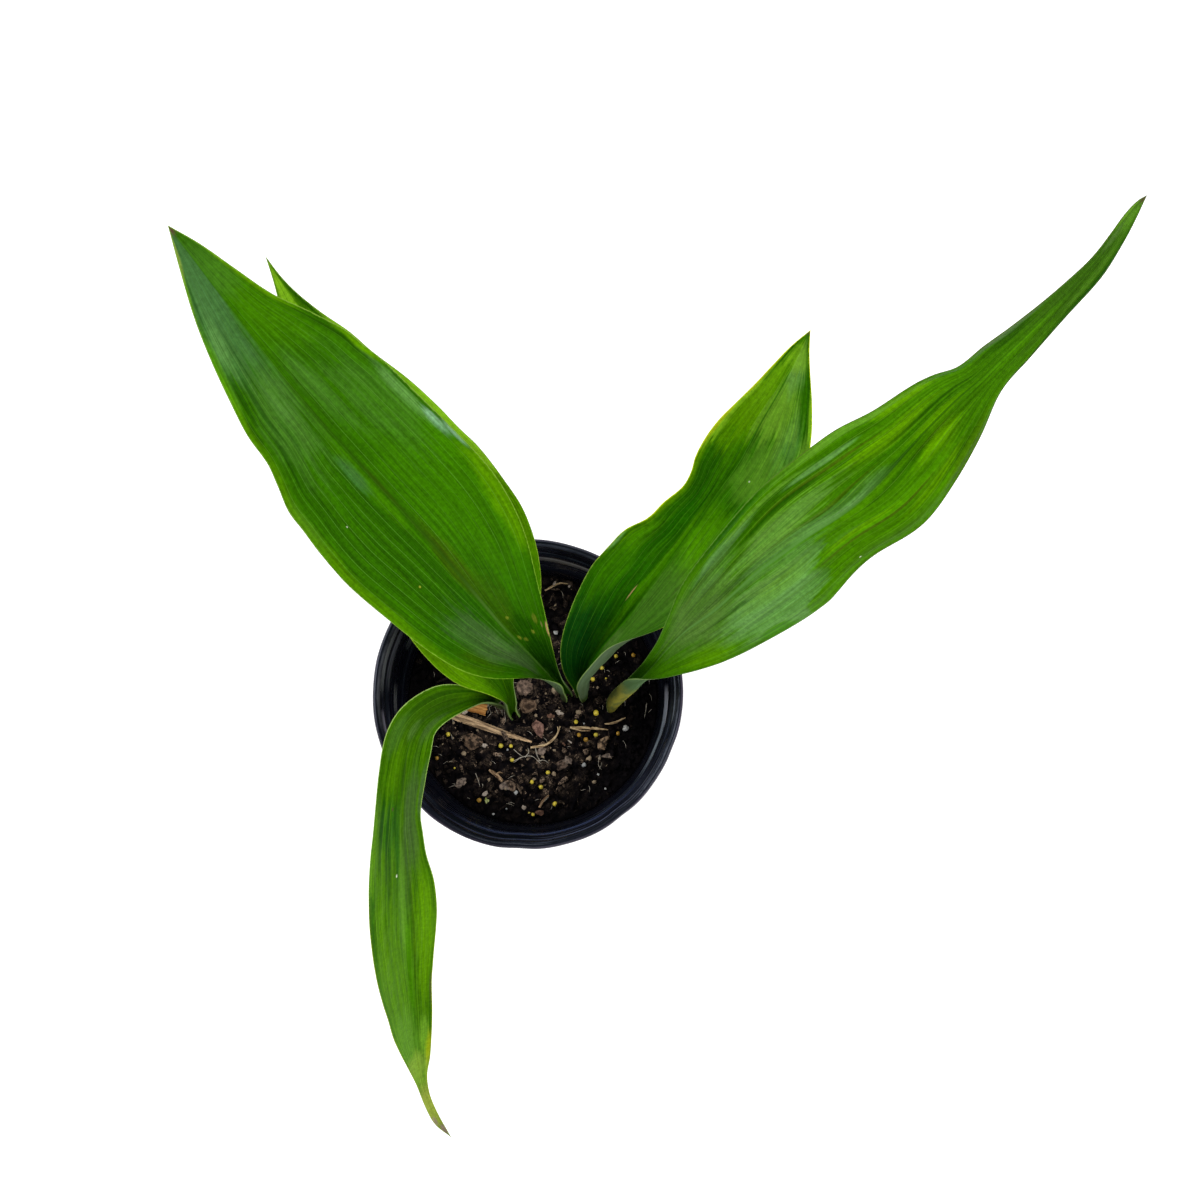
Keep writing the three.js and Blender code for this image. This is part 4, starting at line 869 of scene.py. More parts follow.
# Each leaf's form, as the model has it: the spine in millimetres, the heading of its left side, and along
# its length the half widths, the fold between half and midrib, and how much each half curls, in degrees.
LEAF_FORMS = {
    "leaf_broad": {
        "spine": [[18, 1.5, PETIOLE_FOOT], [17.5, 3, 140], [11, 8, 184], [-17, 36, 244], [-46, 67, 298],
                  [-82, 105, 358], [-112, 144, 396]],
        "left_heading": 223,
        "waves": {"height": 1.6, "count": 3, "phase": 0.1},
        "left": {
            "width": [[0, 5], [0.12, 5.5], [0.16, 7], [0.2, 11], [0.24, 16], [0.3, 22], [0.36, 30],
                      [0.42, 34], [0.5, 36.8], [0.58, 38.6], [0.64, 37.3], [0.68, 35.4], [0.71, 34],
                      [0.74, 30], [0.765, 26.9], [0.8, 25.2], [0.84, 21.2], [0.88, 17], [0.92, 12.3],
                      [0.96, 6.4], [1, 0]],
            "fold": [[0, 10], [0.12, 20], [0.2, 35], [0.28, 35], [0.4, 12], [1, 12]],
            "curl": [[0, 110], [0.12, 120], [0.2, 120], [0.28, 80], [0.4, 25], [0.6, 0], [1, 0]],
        },
        "right": {
            "width": [[0, 5], [0.12, 5.5], [0.16, 6], [0.2, 7.5], [0.26, 13], [0.32, 19], [0.4, 28],
                      [0.48, 36.5], [0.56, 40], [0.64, 38.3], [0.72, 35.5], [0.76, 33.8], [0.79, 31.4],
                      [0.82, 28.9], [0.86, 22.4], [0.895, 15.4], [0.935, 9.9], [0.97, 5.2], [1, 0]],
            "fold": [[0, 10], [0.17, 20], [0.24, 30], [0.32, 20], [0.45, 12], [1, 12]],
            "curl": [[0, 110], [0.17, 90], [0.24, 60], [0.32, 45], [0.45, 15], [0.7, -25], [1, 0]],
        },
    },
    "leaf_under": {
        "spine": [[-11, -9, PETIOLE_FOOT], [-11.5, -6, 140], [-12, 4, 174], [-32, 50, 220], [-63, 102, 264],
                  [-90, 146, 297], [-103, 172, 315]],
        "left_heading": 205,
        "waves": {"height": 1.6, "count": 3, "phase": 0.35},
        "left": {
            "width": [[0, 5], [0.15, 5.5], [0.19, 6.5], [0.23, 12], [0.28, 23], [0.34, 30], [0.42, 34],
                      [0.5, 34], [0.6, 31], [0.7, 25], [0.8, 17], [0.88, 9], [0.92, 5.2], [0.96, 2.1],
                      [1, 0]],
            "fold": [[0, 10], [0.2, 15], [0.3, 10], [1, 10]],
            "curl": [[0, 110], [0.17, 90], [0.24, 30], [0.5, 0], [1, 0]],
        },
        "right": {
            "width": [[0, 5], [0.15, 5.5], [0.2, 6], [0.24, 8.5], [0.29, 18], [0.36, 34], [0.42, 41],
                      [0.5, 44.8], [0.56, 43.5], [0.62, 40.9], [0.66, 37.4], [0.7, 34.4], [0.76, 28.6],
                      [0.82, 21], [0.86, 16.8], [0.9, 10.6], [0.94, 5], [0.97, 1.8], [1, 0]],
            "fold": [[0, 10], [0.2, 15], [0.3, 10], [1, 10]],
            "curl": [[0, 110], [0.2, 90], [0.28, 40], [0.5, 0], [1, 0]],
        },
    },
    "leaf_middle": {
        "spine": [[29, 1.5, PETIOLE_FOOT], [30, 4, 148], [35, 16, 184], [61, 44, 213], [93, 86, 241],
                  [117, 123, 273], [131, 149, 291]],
        "left_heading": 140,
        "roll": [[0, 0], [0.12, -5], [0.22, -12], [0.35, -12], [0.45, -8], [0.6, 0], [1, 0]],
        "waves": {"height": 1.5, "count": 3, "phase": 0.6},
        "left": {
            "width": [[0, 5], [0.1, 5.5], [0.16, 7.5], [0.21, 11], [0.26, 15.5], [0.32, 22], [0.38, 27.5],
                      [0.44, 30], [0.5, 28.4], [0.54, 26.4], [0.58, 20.9], [0.62, 18.9], [0.66, 15.8],
                      [0.69, 16.2], [0.72, 18.4], [0.76, 18.8], [0.8, 17.4], [0.84, 14.4], [0.88, 11.2],
                      [0.92, 8.3], [0.96, 4.9], [1, 0]],
            "fold": [[0, 15], [0.15, 35], [0.3, 30], [0.45, 20], [0.6, 10], [1, 10]],
            "curl": [[0, 110], [0.14, 80], [0.2, 50], [0.3, 15], [0.5, 5], [1, 0]],
        },
        "right": {
            "width": [[0, 5], [0.1, 6], [0.16, 8.5], [0.22, 13], [0.28, 18.5], [0.34, 23.5], [0.4, 27],
                      [0.46, 29], [0.52, 30.5], [0.6, 31.5], [0.68, 32], [0.76, 31], [0.82, 27.7],
                      [0.86, 22.8], [0.9, 15.9], [0.94, 8.7], [0.97, 3.9], [1, 0]],
            "fold": [[0, 15], [0.12, 20], [0.2, 5], [0.3, 5], [0.38, 15], [0.46, 15], [0.6, 5], [1, 5]],
            "curl": [[0, 100], [0.12, 110], [0.2, 125], [0.3, 120], [0.38, 98], [0.46, 55], [0.55, 15],
                     [0.65, 0], [1, 0]],
        },
    },
    "leaf_long": {
        "spine": [[45, -5.5, PETIOLE_FOOT], [50, -1.5, 140], [62, 6, 207], [79, 22, 252], [112, 47, 311],
                  [147, 67, 341], [187, 104, 348], [236, 155, 333], [271, 199, 316]],
        "left_heading": 130,
        "waves": {"height": 1.4, "count": 3.5, "phase": 0.2},
        "pleats": {"depth": 2.2, "count": 3, "start": 0.28},
        "left": {
            "width": [[0, 5], [0.03, 4.5], [0.2, 5], [0.28, 6.5], [0.32, 10], [0.38, 17], [0.46, 21.5],
                      [0.54, 25.9], [0.59, 26.8], [0.63, 22.9], [0.67, 19.7], [0.69, 16.8], [0.71, 12.4],
                      [0.74, 11], [0.77, 9], [0.81, 6.8], [0.85, 5.1], [0.89, 3.7], [0.93, 3.5], [0.96, 3.3],
                      [0.985, 2], [1, 0]],
            "fold": [[0, 10], [0.15, 5], [0.25, 15], [0.4, 12], [0.7, 5], [1, 10]],
            "curl": [[0, 90], [0.04, 35], [0.2, 35], [0.3, 30], [0.4, 10], [0.7, -20], [1, 10]],
        },
        "right": {
            "width": [[0, 5], [0.02, 6], [0.06, 9.5], [0.12, 11], [0.2, 11], [0.25, 11], [0.28, 14],
                      [0.3, 16.8], [0.34, 22.3], [0.38, 26], [0.44, 29.7], [0.48, 30.3], [0.5, 29],
                      [0.54, 24.4], [0.56, 23.2], [0.6, 23.7], [0.64, 19.2], [0.68, 13.2], [0.72, 6.2],
                      [0.76, 5], [0.82, 4.2], [0.88, 4.5], [0.92, 3.4], [0.96, 2], [1, 0]],
            "fold": [[0, 15], [0.05, 40], [0.18, 40], [0.25, 15], [0.35, 0], [0.6, -5], [1, 10]],
            "curl": [[0, 100], [0.05, 170], [0.15, 180], [0.22, 150], [0.27, 60], [0.35, 0], [0.6, -15],
                     [1, 10]],
        },
    },
    "leaf_drooping": {
        "spine": [[-19, -4, PETIOLE_FOOT], [-21, -3, 138], [-31, -5, 172], [-53, -21, 192], [-61, -56, 186],
                  [-65, -108, 152], [-67, -179, 104], [-64.2, -217, 80], [-58.9, -237.5, 69],
                  [-49, -254, 58]],
        "left_heading": -100,
        "waves": {"height": 1.2, "count": 4, "phase": 0.3},
        "left": {
            "width": [[0, 4.5], [0.15, 5.5], [0.2, 6], [0.24, 7.5], [0.29, 11.8], [0.34, 12.2], [0.4, 11.2],
                      [0.43, 12.3], [0.47, 13.8], [0.52, 17.8], [0.57, 19.6], [0.61, 18.8], [0.66, 15.8],
                      [0.7, 13.5], [0.76, 12.2], [0.8, 10.8], [0.84, 8.2], [0.87, 4.4], [0.9, 3],
                      [0.95, 2.6], [1, 0]],
            "fold": [[0, 10], [0.15, 20], [0.25, 15], [0.4, 5], [0.6, 12], [0.9, 15], [1, 25]],
            "curl": [[0, 110], [0.15, 90], [0.25, 20], [0.4, 10], [0.6, 0], [0.9, 20], [1, 50]],
        },
        "right": {
            "width": [[0, 4.5], [0.15, 5.5], [0.18, 8.5], [0.215, 12.3], [0.25, 13.5], [0.29, 16],
                      [0.33, 17.8], [0.38, 20.2], [0.42, 22.8], [0.46, 23.9], [0.5, 24.1], [0.56, 24.5],
                      [0.6, 24.7], [0.64, 23.7], [0.68, 21.2], [0.72, 17.8], [0.76, 15.1], [0.8, 11.4],
                      [0.84, 7.6], [0.88, 4.4], [0.92, 3], [0.96, 3], [1, 0]],
            "fold": [[0, 10], [0.15, 15], [0.2, -5], [0.26, -8], [0.32, 2], [0.4, 5], [0.6, 12], [0.9, 15],
                     [1, 25]],
            "curl": [[0, 110], [0.14, 90], [0.19, 30], [0.24, -8], [0.32, 5], [0.4, 10], [0.6, 0], [0.9, 20],
                     [1, 50]],
        },
    },
}


def leaf_frames(form):
    """Places along the spine, the blade's across and up directions at each, and the spine's length."""
    spine, length = spaced_curve(form["spine"], STATIONS)
    forward = np.gradient(spine, axis=0)
    forward /= np.linalg.norm(forward, axis=1)[:, None]
    heading = math.radians(form["left_heading"])
    carried = np.array([math.cos(heading), math.sin(heading), 0.0])
    left = np.zeros_like(spine)
    roll = np.radians(curve_at(form.get("roll", NO_ROLL), np.linspace(0, 1, STATIONS + 1)))
    for i, ahead in enumerate(forward):
        carried = carried - carried.dot(ahead) * ahead
        carried /= np.linalg.norm(carried)
        left[i] = carried * math.cos(roll[i]) + np.cross(ahead, carried) * math.sin(roll[i])
    across = -left
    return spine, across, np.cross(across, forward), length


def half_section(form, side, station, share):
    """A half blade's upper face at each station and share of its width: out, up, tilt and half width."""
    half = form[side]
    width = np.maximum(curve_at(half["width"], station), 0.0)
    fold = np.radians(curve_at(half["fold"], station))
    bend = np.radians(curve_at(half["curl"], station))
    bend = np.where(np.abs(bend) < 0.01, 0.01, bend)
    out = width * (np.sin(fold + bend * share) - np.sin(fold)) / bend
    rise = width * (np.cos(fold) - np.cos(fold + bend * share)) / bend
    open_blade = np.minimum(1, width / OPEN_HALF_WIDTH) * np.clip((1 - station) / TIP_SHARE, 0, 1)
    if "pleats" in form:
        pleats = form["pleats"]
        grown = np.clip((station - pleats["start"]) / RELIEF_ONSET, 0, 1)
        rise = rise + pleats["depth"] * np.sin(math.pi * pleats["count"] * share) ** 2 * grown * open_blade
    waves = form["waves"]
    turn = waves["count"] * station + waves["phase"] + (RIGHT_WAVE_LAG if side == "right" else 0.0)
    grown = np.clip((station - WAVE_START) / RELIEF_ONSET, 0, 1)
    rise = rise + waves["height"] * share**2 * np.sin(2 * math.pi * turn) * grown * open_blade
    return out, rise, np.where(share > 0, fold + bend * share, 0.0), width


def make_leaf(name, look, seed):
    """One leaf, petiole and blade: a channelled stalk that opens into a thin blade with a grooved midrib."""
    form = LEAF_FORMS[name]
    spine, across, up, length = leaf_frames(form)
    station = np.linspace(0, 1, STATIONS + 1)[:, None]
    share = (np.linspace(0, 1, HALF_COLUMNS + 1) ** 1.15)[None, :]
    keel = curve_at(KEEL, station)
    blade = np.clip((station - BLADE_START) / BLADE_ONSET, 0, 1)
    upper, lower, places, spans = [], [], [], []
    for side, sign in (("left", -1.0), ("right", 1.0)):
        out, rise, tilt, width = half_section(form, side, station, share)
        mm_out = width * share
        groove = MIDRIB_DEPTH * np.exp(-((mm_out / MIDRIB_WIDTH) ** 2)) * blade
        groove = groove * np.clip((1.02 - station) * 3, 0, 1)
        veins = np.cos(2 * math.pi * look["veins"] * share) * VEIN_RELIEF * np.minimum(1, width / 25)
        swell_length, swell_width = TISSUE_SWELL
        tissue = smooth_noise(station * length / swell_length, sign * mm_out / swell_width + 9, seed)
        tissue = tissue * np.minimum(1, mm_out / 8)
        tissue = tissue * TISSUE_RELIEF * (1 - 0.6 * share) * np.minimum(1, width / OPEN_HALF_WIDTH)
        fade = blade * (1 - share**6) * np.clip((1 - station) / 0.04, 0, 1)
        lift = -groove + (veins + tissue) * fade
        rim = MARGIN_THICKNESS + (BLADE_THICKNESS - MARGIN_THICKNESS) * (1 - share**3)
        rim = rim + (1 - blade) * PETIOLE_RIM
        rim = rim * np.clip((1 - station) / 0.02, 0.25, 1)
        thick = rim + np.maximum(keel - rim, 0) * (1 - share) ** (1.5 + 5.5 * blade)
        normal_out, normal_up = -np.sin(tilt), np.cos(tilt)
        rounded = np.where(share >= 1, 0.5, 1.0)
        top_out, top_up = out + normal_out * lift, rise + normal_up * lift
        under_lift = (veins + tissue) * fade - thick * rounded
        under_out, under_up = out + normal_out * under_lift, rise + normal_up * under_lift
        # The last column is the margin itself, a little proud of both faces.
        top_out[:, -1] += (thick[:, -1] * 0.35) * np.cos(tilt[:, -1])
        top_up[:, -1] += (thick[:, -1] * 0.35) * np.sin(tilt[:, -1]) - thick[:, -1] * 0.2
        under_out[:, -1], under_up[:, -1] = top_out[:, -1], top_up[:, -1] - thick[:, -1] * 0.3

        def placed(outward, upward):
            sideways = across[:, None, :] * (sign * outward)[..., None]
            return spine[:, None, :] + sideways + up[:, None, :] * upward[..., None]

        upper.append(placed(top_out, top_up))
        lower.append(placed(under_out, under_up))
        run = np.broadcast_to(station, mm_out.shape)
        places.append(np.stack([0.5 + 0.5 * sign * np.broadcast_to(share, mm_out.shape), run], axis=-1))
        spans.append(np.stack([(width - mm_out) * 0.01, run * length * 0.01], axis=-1))

    def joined(halves):
        return np.concatenate([halves[0][:, :0:-1], halves[1]], axis=1)

    columns = 2 * HALF_COLUMNS + 1
    rows = STATIONS + 1
    points = np.concatenate([joined(upper).reshape(-1, 3), joined(lower).reshape(-1, 3)])
    maps = {
        "blade": np.concatenate([joined(places).reshape(-1, 2)] * 2),
        "span": np.concatenate([joined(spans).reshape(-1, 2)] * 2),
    }
    second = rows * columns
    faces = grid_faces(rows, columns)
    kinds = [0] * len(faces)
    under = grid_faces(rows, columns, second, turned=True)
    faces += under
    kinds += [1] * len(under)
    for column, turned in ((0, True), (columns - 1, False)):
        for i in range(rows - 1):
            a, b = i * columns + column, (i + 1) * columns + column
            face = (a, a + second, b + second, b)
            faces.append(face[::-1] if turned else face)
            kinds.append(0)
    for i, turned in ((0, False), (rows - 1, True)):
        for j in range(columns - 1):
            a = i * columns + j
            face = (a, a + second, a + 1 + second, a + 1)
            faces.append(face[::-1] if turned else face)
            kinds.append(1)
    return new_piece(
        name + "_blade", points, faces, [leaf_upper_material(name, look), leaf_under_material(name, look)],
        (name,), maps, kinds
    )


for seed, (name, look) in enumerate(LEAF_LOOKS.items(), start=FIRST_TISSUE_SEED):
    make_leaf(name, look, seed)


# The pot

POT_SIDES = 224
WALL_WAVER = 0.28
# Shallow dents near the rim, each as its heading in radians, its width and its depth.
PRESS_MARKS = [(-0.92, 7.0, 0.5), (-1.62, 9.1, 0.7), (-0.38, 6.3, 0.4), (1.9, 8.4, 0.4), (3.9, 7.7, 0.45)]


def wall_radius(height):
    """The outside radius of the wall below its first step."""
    return BASE_RADIUS + WALL_SLOPE * height


def rounded_profile(corners, steps=4):
    """A profile of (radius, height, corner radius) rows with each corner rounded."""
    rows = []
    for i, (r, z, bend) in enumerate(corners):
        here = Vector((r, z))
        if bend <= 0 or i in (0, len(corners) - 1):
            rows.append((r, z))
            continue
        before = Vector(corners[i - 1][:2]) - here
        after = Vector(corners[i + 1][:2]) - here
        reach = min(bend, before.length * 0.45, after.length * 0.45)
        start, end = here + before.normalized() * reach, here + after.normalized() * reach
        for k in range(steps + 1):
            t = k / steps
            place = start * (1 - t) ** 2 + here * (2 * t * (1 - t)) + end * t**2
            rows.append((place.x, place.y))
    return rows


def pot_profile():
    """The shell's section: out along its underside, up the outside, over the rim and down the inside."""
    lower = wall_radius(LOWER_STEP_HEIGHT)
    band = lower + STEP_OUT
    upper = band + WALL_SLOPE * (UPPER_STEP_HEIGHT - LOWER_STEP_HEIGHT)
    neck = upper + STEP_OUT
    rib = 0.45

    def band_radius(height):
        return wall_radius(height) + STEP_OUT

    underside = [
        (0, 0, 0), (26, 0, 0.6), (29, FLOOR_CHANNEL_RISE, 0.8), (54.5, FLOOR_CHANNEL_RISE, 0.8),
        (57.5, 0, 0.6), (62.5, 0, 1.4), (BASE_RADIUS, 1.5, 1.4),
    ]
    outside = [
        (wall_radius(60), 60, 0),
        (lower, LOWER_STEP_HEIGHT, 1.2), (band, LOWER_STEP_HEIGHT + STEP_RISE, 1.2),
        (band_radius(138), 138, 0),
        (upper, UPPER_STEP_HEIGHT, 1.2), (neck, UPPER_STEP_HEIGHT + STEP_RISE, 1.2),
    ]
    rim = [
        (neck + 0.6, LIP_HEIGHT, 0.7), (81.8, LIP_HEIGHT, 0.6), (RIM_RADIUS, 161.9, 0.9),
        (RIM_RADIUS, 163.3, 1.2), (81.7, 164.7, 0.9), (80.6, POT_HEIGHT, 0.8), (79.2, 164.3, 0.9),
        (78.5, 162.9, 0.8), (neck + 0.7 - WALL, LIP_HEIGHT, 0.7),
    ]
    inside = [
        (neck + 0.2 - WALL, 158.4, 0.5), (neck + 0.2 - WALL - rib, 157.4, 0.6),
        (neck + 0.1 - WALL, 156.2, 0.5), (neck - WALL, 152.8, 1.0), (upper - WALL, 150.8, 1.0),
        (band_radius(146) - WALL, 146, 0.4), (band_radius(145) - WALL - rib, 145, 0.5),
        (band_radius(144) - WALL, 144, 0.4), (band_radius(135) - WALL, 135, 0),
        (band - WALL, 126.8, 1.0), (lower - WALL, 124.8, 1.0), (wall_radius(119) - WALL, 119, 0),
        (wall_radius(60) - WALL, 60, 0), (wall_radius(3.8) - WALL, 3.8, 1.0),
    ]
    floor = [
        (61.5, FLOOR, 0.8), (58, FLOOR, 0.6), (55, FLOOR + FLOOR_CHANNEL_RISE, 0.8),
        (28.5, FLOOR + FLOOR_CHANNEL_RISE, 0.8), (25.5, FLOOR, 0.6), (0, FLOOR, 0),
    ]
    return rounded_profile(underside + outside + rim + inside + floor)


def wall_waver(turn, height):
    """How far the thin wall stands out of round there: soft waves, more of them near the rim, and dents."""
    high = max(0.0, min(1.0, (height - 90) / 70))
    wave = math.sin(3 * turn + 0.8) * 0.6 + math.sin(7 * turn + 2.1) * 0.4
    wave += math.sin(17 * turn + height * 0.05) * 0.25
    out = WALL_WAVER * high * wave
    for heading, width, depth in PRESS_MARKS:
        gap = math.remainder(turn - heading, 2 * math.pi) * RIM_RADIUS / width
        out -= depth * high * math.exp(-gap * gap)
    return out


def make_pot():
    """The blow-moulded shell, open at the top, with drain holes low in its wall."""
    profile = pot_profile()
    points, faces = [], []
    for r, z in profile:
        for j in range(POT_SIDES):
            turn = 2 * math.pi * j / POT_SIDES
            swell = wall_waver(turn, z) if r > 60 else 0.0
            reach = min(r + swell, RIM_RADIUS) if r > 0 else 0.0
            points.append((reach * math.cos(turn), reach * math.sin(turn), z))
    rings = len(profile)
    for i in range(1, rings - 2):
        for j in range(POT_SIDES):
            k = (j + 1) % POT_SIDES
            a, b = i * POT_SIDES, (i + 1) * POT_SIDES
            faces.append((a + j, a + k, b + k, b + j))
    faces.append(tuple(reversed(range(POT_SIDES, 2 * POT_SIDES))))
    faces.append(tuple(range((rings - 2) * POT_SIDES, (rings - 1) * POT_SIDES)))
    shell = new_piece("pot_shell", points, faces, [pot_material()], ("pot",))
    cut_drain_holes(shell)
    return shell


def cut_drain_holes(shell):
    """Eight slots with rounded corners, low in the wall."""
    points, faces = [], []
    round_off, half_depth = 1.2, 4.0
    for h in range(DRAIN_HOLES):
        turn = 2 * math.pi * (h + 0.5) / DRAIN_HOLES
        outward, sideways = (math.cos(turn), math.sin(turn)), (-math.sin(turn), math.cos(turn))
        outline = []
        for corner in range(4):
            cx = (DRAIN_WIDTH / 2 - round_off) * (1, -1, -1, 1)[corner]
            cz = (DRAIN_HEIGHT / 2 - round_off) * (1, 1, -1, -1)[corner]
            for k in range(5):
                bend = math.pi / 2 * (corner + k / 4)
                outline.append((cx + round_off * math.cos(bend), cz + round_off * math.sin(bend)))
        first, count = len(points), len(outline)
        for reach in (-half_depth, half_depth):
            middle = wall_radius(DRAIN_CENTRE) - WALL / 2 + reach
            for across, rise in outline:
                points.append((middle * outward[0] + across * sideways[0],
                               middle * outward[1] + across * sideways[1], DRAIN_CENTRE + rise))
        for k in range(count):
            n = (k + 1) % count
            faces.append((first + k, first + count + k, first + count + n, first + n))
        faces.append(tuple(first + k for k in range(count)))
        faces.append(tuple(first + count + k for k in reversed(range(count))))
    mesh = bpy.data.meshes.new("drain_slots")
    mesh.from_pydata((np.array(points) * MM).tolist(), [], faces)
    cutter = bpy.data.objects.new("drain_slots", mesh)
    bpy.context.scene.collection.objects.link(cutter)
    cut = shell.modifiers.new("drain", "BOOLEAN")
    cut.operation, cut.object, cut.solver = "DIFFERENCE", cutter, "EXACT"
    bpy.context.view_layer.update()
    made = bpy.data.meshes.new_from_object(shell.evaluated_get(bpy.context.evaluated_depsgraph_get()))
    shell.modifiers.clear()
    shell.data = made
    bpy.data.objects.remove(cutter)


make_pot()


# The potting mix

CRUMB_SEED = 5
# The crumbs by size: how finely the ball is divided, how many, the least and most radius, and how rough.
CRUMB_SIZES = [(2, 520, 1.2, 2.5, 0.7), (2, 900, 0.7, 1.3, 0.7), (1, 2600, 0.35, 0.8, 0.6)]
# Of the crumbs, those that draw more than these are splinters or flakes.
SPLINTERS_ABOVE, FLAKES_ABOVE = 0.86, 0.6
CHIPS = 190
# The round prills and the pale grains, each as (x, y, radius).
YELLOW_PRILLS = [
    (36.1, -8.9, 1.7), (24.7, -14, 1.2), (36.1, -21.3, 1.3), (-17.9, -27.4, 1.4), (-12.2, -27.6, 1.1),
    (-11.5, -35.5, 1.2), (8.9, -42.5, 1.2), (-0.1, -47.8, 1.2), (5, -50.6, 1.3), (13, -60, 1.4),
    (0.7, -66, 1.2), (-48.1, -21, 1.3), (47.6, 23.7, 1.2), (39.5, 16.8, 1.2), (34.3, 10.4, 1.3),
    (-40, 22, 1.3), (-52, 6, 1.2), (-1.5, -65.2, 0.8), (24.9, 2.4, 0.7), (41.8, 10.8, 0.6),
    (-44.0, -40.0, 0.6),
]
ORANGE_PRILLS = [
    (48.6, -20.5, 1.2), (26.4, -21.4, 1.2), (30.4, -24, 1.4), (-54.1, -34.4, 1.2), (57.6, 24.3, 1.3),
    (-29.8, -58, 1.4), (10, 48, 1.2),
]
PALE_GRAINS = [
    (52.9, -17.7, 1.8), (29.3, -38.3, 1.4), (-22, 38, 1.3), (28, 44, 1.2), (-9.2, -53.7, 1.2),
    (12.7, 37.4, 1.3), (-14.1, -29.7, 0.6), (-21.7, -65.6, 0.7), (-14.3, -62.8, 0.6), (41.5, -51.5, 0.6),
    (37.4, -43.5, 0.7), (29.3, -14.8, 0.6),
]
# The chips of bark, each as (x, y, length, width, height, heading in degrees).
BARK_ROWS = [
    (-4.6, 5.6, 12, 9, 5, 10), (-3.3, -4.9, 12, 9, 5, 165), (3.4, -17.5, 11, 7, 4, 110),
    (-35, -24.5, 13, 9, 4.5, 150), (40, -26.5, 9, 6, 4, 60), (15.7, -38.5, 8, 6, 4, 20),
    (-12, -50, 9, 6, 4, 140),
]


def mix_surface(x, y):
    """The height of the mix there: low waves that die away at the wall."""
    wave = np.sin(x / 7 + 1) * np.cos(y / 9) + 0.6 * np.sin((x + y) / 5 + 2)
    fade = 1 - (np.hypot(x, y) / (BASE_RADIUS + 8)) ** 4
    return MIX_HEIGHT + MIX_RELIEF * wave * np.maximum(fade, 0)


def lumps_at(x, y):
    """Small lumps and hollows of loose mix."""
    coarse = noise.noise(Vector((x / 6.5, y / 6.5, 3.1)))
    middle = noise.noise(Vector((x / 2.4, y / 2.4, 7.7)))
    fine = noise.noise(Vector((x / 0.9, y / 0.9, 1.9)))
    return 0.9 * coarse + 0.65 * abs(middle) * 1.6 + 0.3 * fine - 0.45


def ground_at(x, y):
    return float(mix_surface(x, y)) + lumps_at(x, y)


def painted_shade_factor(x, y):
    """How pale the loose mix is drawn there, as painted shade: darker below the broad leaf, at the back and by
    the wall, where shade falls, and darker at the right.
    """
    def rising(value, start, over):
        return min(1.0, max(0.0, (value - start) / over))

    left = rising(-x, 32, 16) * rising(y, -18, 10)
    right = rising(x, 24, 26)
    wall = rising(math.hypot(x, y), 53, 10) if y < 20 else 0.0
    back = 0.6 * rising(y, 30, 10)
    return (1.0 - 0.86 * max(left, right)) * (1.0 - 0.85 * wall) * (1.0 - back)


def make_mix():
    """The body of the mix in the pot, with a crumbly surface."""
    sides, rings = 220, 84
    points, shades = [], []
    for i in range(1, rings + 1):
        radius = MIX_RADIUS * i / rings
        from_wall = min(1.0, (MIX_RADIUS - radius) / 4)
        for j in range(sides):
            turn = 2 * math.pi * (j + 0.5 * (i % 2)) / sides
            x, y = radius * math.cos(turn), radius * math.sin(turn)
            points.append((x, y, float(mix_surface(x, y)) + lumps_at(x, y) * (0.35 + 0.65 * from_wall)))
            # The point's paleness, darkened by painted shade where shade falls on the mix.
            pale = max(0.0, 0.03 + 0.4 * noise.noise(Vector((x / 4, y / 4, 0))))
            shades.append((pale * painted_shade_factor(x, y), 0.0))
    floor = FLOOR + FLOOR_CHANNEL_RISE + MIX_CLEARANCE
    foot = wall_radius(floor) - WALL - MIX_CLEARANCE
    for j in range(sides):
        turn = 2 * math.pi * j / sides
        points.append((foot * math.cos(turn), foot * math.sin(turn), floor))
        shades.append((0.2, 0.0))
    faces = grid_faces(rings + 1, sides, turned=True, closed=True)
    faces.append(tuple(range(sides)))
    faces.append(tuple(reversed(range(rings * sides, (rings + 1) * sides))))
    return new_piece("mix_body", points, faces, [MIX], ("mix",), {"shade": shades})


def ball(subdivisions):
    """The points and faces of a round ball of radius 1."""
    mesh = bmesh.new()
    bmesh.ops.create_icosphere(mesh, subdivisions=subdivisions, radius=1.0)
    mesh.verts.ensure_lookup_table()
    points = np.array([vert.co for vert in mesh.verts])
    faces = [tuple(vert.index for vert in face.verts) for face in mesh.faces]
    mesh.free()
    return points, faces


def rough(points, dice, amount):
    """A ball's points pushed in and out by a soft noise that starts from a random place."""
    shift = Vector((dice.uniform(0, 90), dice.uniform(0, 90), dice.uniform(0, 90)))
    lift = [noise.noise(Vector(point) * 1.3 + shift) for point in points]
    return points * (1 + amount * np.array(lift))[:, None]


def broken(points, dice, cuts, least=0.40, most=0.80):
    """A ball's points pressed onto random planes, as bark breaks: flat faces between sharp edges."""
    for _ in range(cuts):
        away = np.array([dice.gauss(0, 1), dice.gauss(0, 1), dice.gauss(0, 0.8)])
        away /= np.linalg.norm(away)
        over = np.maximum(points @ away - dice.uniform(least, most), 0.0)
        points = points - np.outer(over, away)
    return points


def turned_points(points, dice, tilt):
    """The points turned to a random heading and tipped by up to tilt radians."""
    turn = Euler((dice.uniform(-tilt, tilt), dice.uniform(-tilt, tilt), dice.uniform(0, 6.28))).to_matrix()
    return points @ np.array(turn).T


def random_place(dice, limit):
    """A random place within limit of the pot's middle, as x, y and its distance."""
    reach = limit * math.sqrt(dice.random())
    turn = dice.uniform(0, 2 * math.pi)
    return reach * math.cos(turn), reach * math.sin(turn), reach


